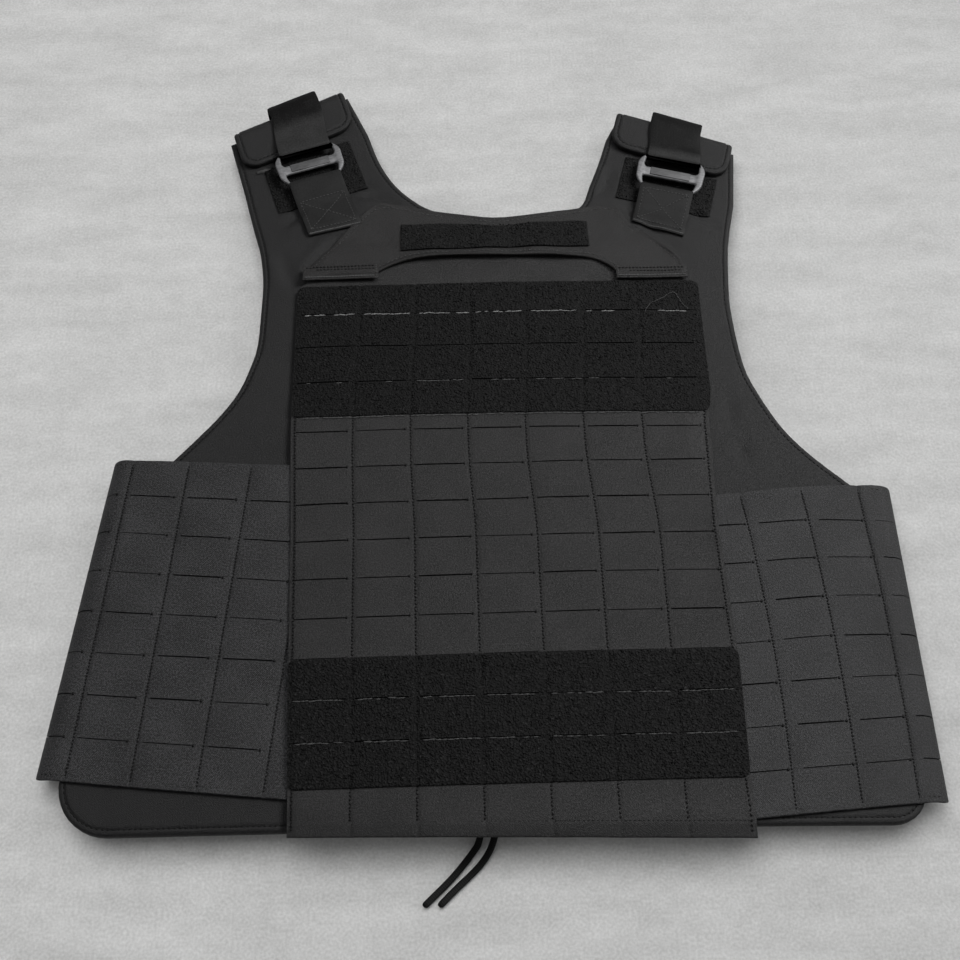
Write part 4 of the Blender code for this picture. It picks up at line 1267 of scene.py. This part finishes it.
def make_wing(side, looks):
    lengths = wing_lengths(side)
    start = -wing_reach(side, 0.0, 0.5) / COLUMN
    second, third = wing_reach(side, 1.0, 0.5), wing_reach(side, 2.0, 0.5)
    end = 2.0 + (sum(lengths) - third) / (third - second)
    first, last = WINGS[side]["slit"]
    slits = []
    for column in (-1, 0, 1, 2, 3, 4):
        for row in range(WING_ROWS):
            level = ROW * (row + 1)
            slits.append((column * COLUMN + first, column * COLUMN + last, level - SLIT_WIDTH / 2,
                          level + SLIT_WIDTH / 2))
    mesh = new_sheet(rectangle((start * COLUMN, 0.0), (end * COLUMN, WING_HEIGHT)))
    add_rings(mesh, EDGE_RINGS)
    seams = [column * COLUMN + step for column in range(-1, 6) for step in (-2.6, -1.1, 0.0, 1.1, 2.6)]
    low, high = start * COLUMN + 1.0, end * COLUMN - 1.0
    places = thin_out([x for x in [*seams, *slit_cuts(slits, 0)] if low < x < high], 0.25)
    fold = [2.0 * COLUMN + step for step in even_steps(-16.0, 60.0, 2.0)]
    cut_lines(mesh, 0, thin_out(between([*places, *fold], low, high, 6.0), 0.25))
    cut_lines(mesh, 1, between(slit_cuts(slits, 1), 1.0, WING_HEIGHT - 1.0, 4.5))
    open_slits(mesh, slits)

    def relief(x, y):
        """The same lips and dips as the flap's, on the front leg only, and a pulled-down hem seam."""
        fade = 1.0 - ease(x, 1.9 * COLUMN, 2.6 * COLUMN)
        row = min(WING_ROWS, max(1, round(y / ROW))) * ROW
        v = max(-ROW / 2, min(ROW / 2, row - y))
        hem = -0.4 * (bell(y - 3.2, 0.9) + bell(y - WING_HEIGHT + 3.2, 0.9))
        creases = -sum(depth * bell(x - column * COLUMN, 1.4) for column, depth in WINGS[side]["creased"])
        return fade * (cell_relief(x % COLUMN, v) * 0.8 + hem + creases) - 0.1

    def place(x, y, inset, above):
        raised = relief(x, y)
        low_depth, high_depth = edge_roll(-WING_THICK, raised, inset)
        row = min(WING_ROWS, max(1, round(y / ROW)))
        y += slit_shift(math.floor(x / COLUMN) + 20, row, y - row * ROW)
        return wing_place(side, x / COLUMN, y / WING_HEIGHT, -(high_depth if above else low_depth))

    thicken(mesh, place)
    wing = finish_piece(f"wing_cloth_{side}", mesh, looks["wing"])
    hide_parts(f"cummerbund_{side}")
    sum(lengths) * MM

    down = 1.0 if side == "left" else -1.0

    def surface(x, y):
        """Counted upward on the right wing, so that both wings' sewing stands outward."""
        return wing_place(side, x / COLUMN, abs(y) / WING_HEIGHT, -relief(x, abs(y)))

    sewing = []
    for column in range(-1, 3):
        line = [(column * COLUMN, 2.5 * down), (column * COLUMN, (WING_HEIGHT - 2.5) * down)]
        sewing += zigzag(surface, line, 0.6, 2.0)
    inner = (-0.9 if side == "right" else -0.6) * COLUMN
    for y in (3.2, WING_HEIGHT - 3.2):
        sewing += seam(surface, [(inner, y * down), (2.4 * COLUMN, y * down)])
    end_at = last + 1.2 if side == "right" else first - 1.2
    for column in range(-1, 3):
        for row in range(WING_ROWS):
            sewing.append(tack(surface, column * COLUMN + end_at, ROW * (row + 1) * down, (0.2, 1.0), 2.3, 1.9))
    joined_grains(f"wing_seams_{side}", sewing, looks["thread"])


# The yoke and what is sewn on it.


def yoke_folds(x, y):
    """Soft folds that run down the yoke, sharper where it is not held by the name strip."""
    broad = 1.5 * noise.noise(Vector((x / 19.0, y / 34.0, 1.2)))
    fine = 0.7 * noise.noise(Vector((x / 9.0, y / 13.0, 4.7))) * ease(abs(x), 62.0, 76.0)
    return broad + fine


def make_yoke(looks):
    outline = [YOKE_LEFT[0], *smooth_line(YOKE_LEFT[1:], 3), *smooth_line(YOKE_NECK, 3),
               *smooth_line(YOKE_RIGHT[:-1], 3), YOKE_RIGHT[-1], *smooth_line(YOKE_HEM, 3)]
    mesh = new_sheet(outline)
    rings = add_rings(mesh, (0.3, 0.5, 1.0, 1.0, 0.8))
    cut_lines(mesh, 0, even_steps(-135.0, 135.0, 4.5))
    cut_lines(mesh, 1, even_steps(110.0, 190.0, 4.5))

    def relief(x, y, inset):
        rim = 0.9 * bell(inset - 1.0, 1.4) - 0.6 * bell(inset - 3.3, 0.8)
        along_hem = 0.35 + 0.65 * (1.0 - ease(y, 138.0, 146.0))
        return rim * along_hem + yoke_folds(x, y) * min(1.0, inset / 3.0)

    def place(x, y, inset, side):
        low, high = edge_roll(yoke_under(x, y), yoke_top(x, y), inset)
        return x, y, (high if side else low) + max(-0.5, relief(x, y, inset))

    thicken(mesh, place)
    yoke = finish_piece("yoke_cloth", mesh, looks["yoke"])
    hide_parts("chest_yoke")
    area = abs(sum(a[0] * b[1] - b[0] * a[1] for a, b in zip(outline, [*outline[1:], outline[0]]))) / 2
    xs, ys = zip(*outline)
    (max(xs) - min(xs)) * MM
    (max(ys) - min(ys)) * MM
    area * MM**2

    def surface(x, y):
        return x, y, yoke_top(x, y) + relief(x, y, 3.0)

    ring = rings[4]
    sewing = seam(surface, [*ring, ring[0]])
    joined_grains("yoke_seam", sewing, looks["soft_thread"])


def make_name_strip(looks):
    (x0, y0), (x1, y1) = NAME_STRIP
    mesh = rectangle_sheet(NAME_STRIP, 2.6, 2.6)

    def top(x, y):
        lumps = 0.25 * noise.noise(Vector((x / 1.9, y / 1.9, 4.0)))
        return yoke_top(x, y) + max(-0.5, yoke_folds(x, y)) + 0.2 + LOOP_THICK + lumps

    def place(x, y, inset, side):
        part = (y - y0) / (y1 - y0)
        wave = 1.1 * bell(x + 36.0, 18.0) - 1.9 * bell(x - 2.0, 17.0) + 0.5 * bell(x - 50.0, 20.0)
        y += part * wave
        return x, y, edge_roll(top(x, y) - LOOP_THICK, top(x, y), inset)[side]

    thicken(mesh, place)
    strip = finish_piece("name_strip_loop", mesh, looks["pile"])
    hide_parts("name_strip")
    area = ((x0 + 0.6, y0 + 0.6), (x1 - 0.6, y1 - 0.6))
    pile = make_pile("name_strip_pile", area, lambda x, y: True, 2.0, lambda x, y: (x, y, top(x, y)), 5, looks)


def make_tab(side, looks):
    """A flat folded tab with a pale row of stitches along one edge and across its inner end, and two dark rows along
    the other edge.
    """
    (x0, y0), (x1, y1) = TABS[side]
    mesh = rectangle_sheet(TABS[side], 3.0, 1.3)

    def top(x, y):
        fold = -1.0 * bell(y - y0 - 4.6, 0.8) * ease(x, x0 + 12.0, x0 + 16.0)
        rows = -0.5 * bell(y - y1 + 2.4, 0.9) + 0.4 * bell(y - y0 - 1.4, 1.0)
        ripple = 0.2 * noise.noise(Vector((x / 6.0, y / 4.0, 9.0)))
        return yoke_top(x, y) + 0.35 + TAB_THICK + fold + rows + ripple

    def place(x, y, inset, above):
        return x, y, edge_roll(yoke_top(x, y) + TAB_CLEAR, top(x, y), inset)[above]

    thicken(mesh, place)
    tab = finish_piece(f"yoke_tab_webbing_{side}", mesh, looks["yoke"])
    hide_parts(f"yoke_tab_{side}")

    def surface(x, y):
        return x, y, top(x, y)

    sewing = seam(surface, [(x0 + 1.5, y0 + 1.6), (x1 - 1.5, y0 + 1.6)], 2.0, 2.8, 1.2, 1.3)
    inner = x1 - 1.5 if side == "left" else x0 + 1.5
    sewing += seam(surface, [(inner, y0 + 1.0), (inner, y1 - 1.0)], 1.8, 1.6, 0.8, 0.8)
    joined_grains(f"yoke_tab_seams_{side}", sewing, looks["grey_thread"])
    dark = seam(surface, [(x0 + 1.5, y1 - 1.6), (x1 - 1.5, y1 - 1.6)], 2.4, 2.0, 1.1, 0.9)
    dark += seam(surface, [(x0 + 9.0, y1 - 4.2), (x1 - 3.0, y1 - 4.2)], 2.4, 2.0, 0.9, 0.8)
    joined_grains(f"yoke_tab_dark_seams_{side}", dark, looks["thread"])


# The shoulders.


def make_patch(side, looks):
    strap = STRAPS[side]
    (u0, v0), (u1, v1) = PATCHES[side]
    mesh = rectangle_sheet(PATCHES[side], 2.6, 2.6)

    rise = PATCH_RISE[side]

    def top(u, v):
        v += abs(rise) * ease(math.copysign(u, u * rise), 16.0, 22.0) * (v - v0) / (v1 - v0)
        x, y = local_to_plan(strap["buckle"], strap["turn"], u, v)
        return x, y, front_top(x, y) + GAP + PATCH_THICK + 0.2 * noise.noise(Vector((u / 1.9, v / 1.9, 8.0)))

    def place(u, v, inset, above):
        x, y, high = top(u, v)
        return x, y, edge_roll(high - PATCH_THICK, high, inset)[above]

    thicken(mesh, place)
    patch = finish_piece(f"shoulder_loop_field_{side}", mesh, looks["pile"])
    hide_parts(f"shoulder_loop_{side}")
    area = ((u0 + 0.6, v0 + 0.6), (u1 - 0.6, v1 - 0.6))
    pile = make_pile(f"shoulder_pile_{side}", area, lambda u, v: True, 2.0, top, 9, looks)


def turn_round(centre, radius, start, end, pieces):
    """Points on an arc in (v, z), angles in degrees."""
    angles = [math.radians(start + (end - start) * piece / pieces) for piece in range(pieces + 1)]
    return [(centre[0] + radius[0] * math.cos(angle), centre[1] + radius[1] * math.sin(angle)) for angle in angles]


def bar_wrap(edge, slot):
    """Half width and half height of the webbing's middle line round a bar."""
    clear = 0.15 + WEBBING_THICK / 2
    return abs(edge - slot) / 2 + clear, BUCKLE_THICK / 2 + clear


def webbing(name, node, path, place, look):
    """Webbing along a path of (v, z) points; place(u, v, z) sets each corner. Gives its upper face too."""
    spots = [Vector(point) for point in path]
    ways = [(after - before).normalized() for before, after in zip(spots, spots[1:])]
    normals = []
    for index in range(len(spots)):
        way = ways[max(0, index - 1)] + ways[min(len(ways) - 1, index)]
        way.normalize()
        normals.append(Vector((-way.y, way.x)))
    reached = distances(spots)

    def at(s, height):
        index = 0
        while index < len(reached) - 2 and s > reached[index + 1]:
            index += 1
        part = (s - reached[index]) / (reached[index + 1] - reached[index])
        part = min(1.0, max(0.0, part))
        return spots[index].lerp(spots[index + 1], part) + normals[index].lerp(normals[index + 1], part) * height

    half = WEBBING_WIDE / 2
    mesh = new_sheet(rectangle((-half, 0.0), (half, reached[-1])))
    cut_lines(mesh, 0, [-half + 0.4, -half + 1.4, *even_steps(-half + 1.4, half - 1.4, 4.5), half - 1.4, half - 0.4])
    cut_lines(mesh, 1, thin_out([s for s in reached[1:-1] if 0.3 < s < reached[-1] - 0.3], 0.3))

    def corner(u, s, _, above):
        edge = half - abs(u)
        full = 0.4 + 0.6 * min(1.0, edge / 1.2)
        ripple = 0.12 * noise.noise(Vector((u / 9.0, s / 9.0, 2.0)))
        spot = at(s, (WEBBING_THICK / 2 * full) * (1 if above else -1) + ripple)
        return place(u, spot.x, spot.y)

    thicken(mesh, corner)
    band = finish_piece(name, mesh, look, 50.0)
    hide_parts(node)
    return lambda u, s: place(u, *at(s, WEBBING_THICK / 2))


def dense(path, step):
    """More points on a path, straight between its own."""
    line = [path[0]]
    for before, after in zip(path, path[1:]):
        count = max(1, math.ceil((Vector(after) - Vector(before)).length / step))
        line += [tuple(Vector(before).lerp(Vector(after), (index + 1) / count)) for index in range(count)]
    return line


def make_strap(side, looks):
    """From under the back panel, loosely round the shoulder, over the buckle's upper bar and back under itself."""
    strap = STRAPS[side]
    floor_z = WEBBING_THICK / 2 + 0.15
    leg_z = FOLD_CENTRE_Z * 2 - BACK_UNDERSIDE + GAP + WEBBING_THICK / 2 + 0.5
    wrap = bar_wrap(BUCKLE_TOP, UPPER_SLOT[1])
    fold = strap["fold_at"]
    path = [(STRAP_BACK_END, floor_z), (fold / 2, floor_z)]
    path += turn_round((fold, (floor_z + leg_z) / 2), (strap["reach"], (leg_z - floor_z) / 2), -90.0, 90.0, 24)
    path += smooth_line([(fold - 6.0, leg_z + 0.1), (fold - 18.0, leg_z + 0.4), (BUCKLE_TOP + 3.0, BUCKLE_Z + wrap[1])], 4)
    path += turn_round((UPPER_BAR, BUCKLE_Z), wrap, 90.0, 270.0, 14)
    path += [(UPPER_BAR + strap["tuck"], BUCKLE_Z - wrap[1])]

    def place(u, v, z):
        v += u * strap["slant"] * ease(v, 24.0, fold)
        u += strap["lean"] * ease(v, 17.0, fold)
        return (*local_to_plan(strap["buckle"], strap["turn"], u, v), z)

    surface = webbing(f"strap_webbing_{side}", f"shoulder_strap_{side}", dense(path, 3.0), place, looks["strap"])
    return surface


def make_keeper(side, looks):
    """Two layers sewn to the front panel, round the buckle's lower bar, with a sewn box and cross."""
    strap = STRAPS[side]
    wrap = bar_wrap(BUCKLE_FOOT, LOWER_SLOT[0])
    patch_end = -PATCHES[side][0][1]
    bar_side = BUCKLE_FOOT - 0.5

    def seat(v):
        over_patch = (PATCH_THICK + GAP) * (1.0 - ease(-v, patch_end, patch_end + 6.0))
        return front_top(*local_to_plan(strap["buckle"], strap["turn"], 0.0, v)) + 2 * GAP + over_patch

    def lower(v):
        return seat(v) + WEBBING_THICK / 2

    def upper(v):
        sewn = lower(v) + (WEBBING_THICK + 0.1) * ease(v, end, end + 5.0) + 0.2
        top = BUCKLE_Z + wrap[1]
        return sewn + (top - sewn) * (1.0 - ease(-v, -bar_side, KEEPER_SEWN))

    end = strap["keeper_end"]
    places = [end, *even_steps(end, bar_side - 4.0, 2.5), bar_side - 4.0]
    path = [(v, lower(v)) for v in places]
    path += turn_round((LOWER_BAR, BUCKLE_Z), wrap, -90.0, 90.0, 14)
    path += [(bar_side, BUCKLE_Z + wrap[1])]
    path += [(v, upper(v)) for v in reversed(places)]

    def place(u, v, z):
        slanted = v + strap["hem_slant"] * u * ease(-v, 24.0, -end)
        u += strap["keeper_lean"] * ease(-v, 20.0, -end)
        x, y = local_to_plan(strap["buckle"], strap["turn"], u, slanted)
        middle = local_to_plan(strap["buckle"], strap["turn"], 0.0, v)
        return x, y, z + (front_top(x, y) - front_top(*middle)) * ease(-v, 14.0, 24.0)

    webbing(f"keeper_webbing_{side}", f"keeper_{side}", dense(path, 3.0), place, looks["webbing"])

    def surface(u, v):
        return place(u, v, upper(v) + WEBBING_THICK / 2)

    low, high, half = end + 3.5, end + 31.0, WEBBING_WIDE / 2 - 3.0
    box = [(-half, low), (half, low), (half, high), (-half, high), (-half, low)]
    sewing = []
    for line in (box, [(-half, low), (half, high)], [(half, low), (-half, high)]):
        sewing += seam(surface, line, 2.6, 2.1, 0.95, 0.8)
    joined_grains(f"keeper_seams_{side}", sewing, looks["soft_thread"])
    # Painted highlight: a pale row of long close stitches along the keeper's folded end stands in for the light on its
    # ridge, brighter on the left.
    hem = seam(surface, [(-half - 2.4, end + 0.9), (half + 2.4, end + 0.9)], 1.6, 2.8, 1.5, 1.8)
    joined_grains(f"keeper_fold_highlight_{side}", hem, looks["grey_thread" if side == "left" else "soft_thread"])


def rounded_box(wide, low, high, radius, pieces):
    """A rounded rectangle in plan, clockwise."""
    half = wide / 2
    return rounded([(-half, low), (-half, high), (half, high), (half, low)], radius, pieces)


def bevel_rims(mesh, offset, segments):
    """Rounds the edges where a flat plate's faces meet its sides."""
    rims = [edge for edge in mesh.edges if len(edge.link_faces) == 2 and edge.calc_face_angle() > 1.0
            and abs(edge.verts[0].co.z - edge.verts[1].co.z) < 0.01]
    bmesh.ops.bevel(mesh, geom=rims, offset=offset, offset_type="OFFSET", segments=segments, profile=0.5,
                    affect="EDGES", material=-1)


def make_buckle(side, looks):
    """A flat frame with two slots, so three bars, its edges rounded, with a brushed pad on the middle bar."""
    strap = STRAPS[side]
    mesh = bmesh.new()
    outlines = [
        rounded_box(BUCKLE_WIDE, BUCKLE_FOOT, BUCKLE_TOP, BUCKLE_CORNER, 10),
        rounded_box(SLOT_WIDE, *UPPER_SLOT, SLOT_CORNER, 6),
        rounded_box(SLOT_WIDE, *LOWER_SLOT, SLOT_CORNER, 6),
    ]
    for line in outlines:
        verts = [mesh.verts.new((x, y, -BUCKLE_THICK / 2)) for x, y in line]
        for first, second in zip(verts, [*verts[1:], verts[0]]):
            mesh.edges.new((first, second))
    bmesh.ops.triangle_fill(mesh, use_beauty=True, use_dissolve=True, edges=mesh.edges[:])
    grown = bmesh.ops.extrude_face_region(mesh, geom=mesh.faces[:])
    top = [item for item in grown["geom"] if isinstance(item, bmesh.types.BMVert)]
    bmesh.ops.translate(mesh, verts=top, vec=(0.0, 0.0, BUCKLE_THICK))
    bmesh.ops.recalc_face_normals(mesh, faces=mesh.faces)
    bevel_rims(mesh, 1.05, 4)

    def place(vert, lift):
        """The rails bow outward and up between their ends, and draw in towards the foot."""
        u, v, z = vert.co
        u *= 1.0 - 0.1 * ((v - 3.0) / 17.0) ** 2 - 0.05 * ease(-v, 6.0, 17.0)
        vert.co = world((*local_to_plan(strap["buckle"], strap["turn"], u, v), z + BUCKLE_Z + lift))

    mark_weave(mesh)
    for vert in mesh.verts:
        rail = ease(abs(vert.co.x), 18.0, 21.0) * 1.5 * bell(vert.co.y - 1.0, 12.0)
        place(vert, rail)
    buckle = finish_piece(f"buckle_frame_{side}", mesh, looks["steel"], 60.0)
    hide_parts(f"buckle_{side}")
    pad = bmesh.new()
    bmesh.ops.create_cube(pad, size=1.0)
    bmesh.ops.scale(pad, vec=(29.0, 6.4, 1.3), verts=pad.verts)
    bevel_rims(pad, 0.35, 2)
    mark_weave(pad)
    for vert in pad.verts:
        vert.co.y += 0.2
        place(vert, BUCKLE_THICK / 2)
    finish_piece(f"buckle_pad_{side}", pad, looks["dark_steel"], 50.0)


# The drawcords.


def make_drawcord(side, looks):
    """A braided cord, made as a flat sheet that is rolled up round its route, with a melted end."""
    line = [Vector(point) for point in smooth_line(DRAWCORDS[side], 5)]
    reached = distances(line)
    long = reached[-1]
    mesh = new_sheet(rectangle((0.0, 0.0), (2.0 * math.pi, long)))
    sides = 12
    cut_lines(mesh, 0, [2.0 * math.pi * step / sides for step in range(1, sides)])
    cut_lines(mesh, 1, even_steps(0.0, long, 1.2))
    mark_weave(mesh)
    for vert in mesh.verts:
        angle, s, _ = vert.co
        index = max(step for step in range(len(reached) - 1) if s >= reached[step] - 1e-6)
        part = (s - reached[index]) / (reached[index + 1] - reached[index])
        middle = line[index].lerp(line[index + 1], part)
        ahead = (line[index + 1] - line[index]).normalized()
        sideways = ahead.cross(Vector((0.0, 0.0, 1.0))).normalized()
        upward = sideways.cross(ahead)
        end = ease(long - s, 0.0, 1.6)
        radius = CORD_THICK / 2 * (0.55 + 0.45 * end)
        radius += 0.25 * (1.0 - end) * math.sin(3.0 * angle) + 0.06 * math.sin(8.0 * angle) * math.sin(s * 2.4)
        spot = middle + sideways * radius * math.cos(angle) + upward * radius * math.sin(angle)
        spot.z = max(0.1, spot.z)
        vert.co = world(spot)
    bmesh.ops.remove_doubles(mesh, verts=mesh.verts, dist=1e-6)
    rims = [edge for edge in mesh.edges if edge.is_boundary]
    bmesh.ops.holes_fill(mesh, edges=rims, sides=sides)
    cord = finish_piece(f"drawcord_braid_{side}", mesh, looks["braid"], 60.0)
    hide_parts(f"drawcord_{side}")
    path = [tuple(world(point)) for point in line]


# The room.


def make_floor(looks):
    mesh = bmesh.new()
    bmesh.ops.create_grid(mesh, x_segments=1, y_segments=1, size=2.5)
    data = bpy.data.meshes.new("floor")
    mesh.to_mesh(data)
    mesh.free()
    data.materials.append(looks["floor"])
    floor = bpy.data.objects.new("floor", data)
    bpy.context.scene.collection.objects.link(floor)


def add_light(name, place, target, size, power):
    lamp = bpy.data.lights.new(name, "AREA")
    lamp.shape = "DISK"
    lamp.size = size
    lamp.energy = power
    light = bpy.data.objects.new(name, lamp)
    light.location = place
    light.rotation_euler = (Vector(target) - Vector(place)).to_track_quat("-Z", "Y").to_euler()
    bpy.context.scene.collection.objects.link(light)
    return light


def light_room():
    """A soft ceiling, and a window on the right that only the cloth's sheen shows."""
    room = bpy.data.worlds.new("studio")
    room.use_nodes = True
    room.node_tree.nodes["Background"].inputs["Color"].default_value = (1.0, 1.0, 1.0, 1.0)
    room.node_tree.nodes["Background"].inputs["Strength"].default_value = 0.33
    bpy.context.scene.world = room
    add_light("ceiling_light", (-0.25, 0.3, 2.0), (0.0, 0.0, 0.0), 1.7, 31.0)
    window = add_light("window_light", (0.95, 0.35, 1.25), (0.1, 0.0, 0.0), 0.8, 125.0)
    window.visible_diffuse = False
    bpy.context.scene.view_settings.view_transform = "Standard"


def add_camera():
    lens = bpy.data.cameras.new("camera")
    lens.lens = LENS
    lens.sensor_width = 36.0
    camera = bpy.data.objects.new("camera", lens)
    camera.location = world(CAMERA_PLACE)
    camera.rotation_euler = (math.radians(CAMERA_TILT), 0.0, math.radians(CAMERA_HEADING))
    bpy.context.scene.collection.objects.link(camera)
    bpy.context.scene.camera = camera


def make_looks():
    return {
        "nylon": nylon_finish("panel_nylon", (0.0006, 0.0006, 0.0008), (0.0095, 0.0092, 0.0096), 0.9),
        # The flap's lowest band gets painted shade below this height.
        "flap": nylon_finish("flap_nylon", (0.0012, 0.0012, 0.0012), (0.026, 0.025, 0.0256), 0.9, FLAP_HEM + 7.5),
        "wing": nylon_finish("wing_nylon", (0.0014, 0.0014, 0.0018), (0.041, 0.041, 0.043), 1.1),
        "yoke": nylon_finish("yoke_nylon", (0.003, 0.0028, 0.0028), (0.020, 0.0185, 0.0185), 0.9),
        "pile": pile_finish("loop_pile", (0.0003, 0.0003, 0.0003), (0.019, 0.019, 0.019)),
        # Painted light and shade: the strap is darker for its first 147 mm, round the shoulder's fold, and paler on
        # towards the buckle; the keeper is painted pale all along.
        "strap": webbing_finish("strap_webbing", (0.0004, 0.0004, 0.0004), (0.044, 0.044, 0.044), 147.0),
        "webbing": webbing_finish("keeper_webbing", (0.0012, 0.0012, 0.0012), (0.025, 0.025, 0.025), -40.0),
        "steel": steel_finish("buckle_steel", (0.03, 0.03, 0.031), (0.14, 0.14, 0.145)),
        "dark_steel": steel_finish("buckle_pad_steel", (0.012, 0.012, 0.0125), (0.06, 0.06, 0.062)),
        "thread": thread_finish("black_thread", (0.0008, 0.0008, 0.0008), (0.004, 0.004, 0.004)),
        "grey_thread": thread_finish("grey_thread", (0.030, 0.030, 0.030), (0.110, 0.110, 0.110)),
        "soft_thread": thread_finish("soft_thread", (0.022, 0.022, 0.022), (0.08, 0.08, 0.08)),
        "pale_thread": thread_finish("pale_thread", (0.12, 0.12, 0.12), (0.34, 0.34, 0.34)),
        "cut_edge": thread_finish("cut_edge_thread", (0.040, 0.040, 0.040), (0.12, 0.12, 0.12)),
        "braid": braid_finish("cord_braid", (0.0006, 0.0006, 0.0006), (0.005, 0.005, 0.005)),
        "floor": floor_finish(),
    }


def main():
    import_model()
    looks = make_looks()
    add_camera()
    for side in ("left", "right"):
        make_drawcord(side, looks)
    make_floor(looks)
    light_room()
    make_back_panel(looks)
    make_front_panel(looks)
    flap = make_flap(looks)
    upper = make_loop_field("upper_loop_field", "upper_loop_panel", *UPPER_LOOP, UPPER_ROWS, 11, looks)
    lower = make_loop_field("lower_loop_field", "lower_loop_panel", *LOWER_LOOP, LOWER_ROWS[7:9], 12, looks)
    make_cut_edges("upper_cut_edges", upper, UPPER_ROWS[0], (0.8, 1.0, 0.95, 0.75, 0.95, 0.5, 0.6), 0.95,
                   looks["pale_thread"], 21)
    make_cut_edges("upper_cut_edges_faint", upper, UPPER_ROWS[2], (0.6, 0.3, 0.6, 0.5, 0.6, 0.4, 0.3), 0.8,
                   looks["cut_edge"], 22)
    for index, row in enumerate(LOWER_ROWS[7:9]):
        make_cut_edges(f"lower_cut_edges_{index}", lower, row, (0.8,) * COLUMNS, 1.2, looks["soft_thread"], 23 + index)
    make_edge_thread(flap, looks)
    make_stray_threads(upper, flap, looks)
    make_hanger_tab(looks)
    make_yoke(looks)
    make_name_strip(looks)
    for side in ("left", "right"):
        make_wing(side, looks)
        make_tab(side, looks)
        make_patch(side, looks)
        make_strap(side, looks)
        make_keeper(side, looks)
        make_buckle(side, looks)


main()
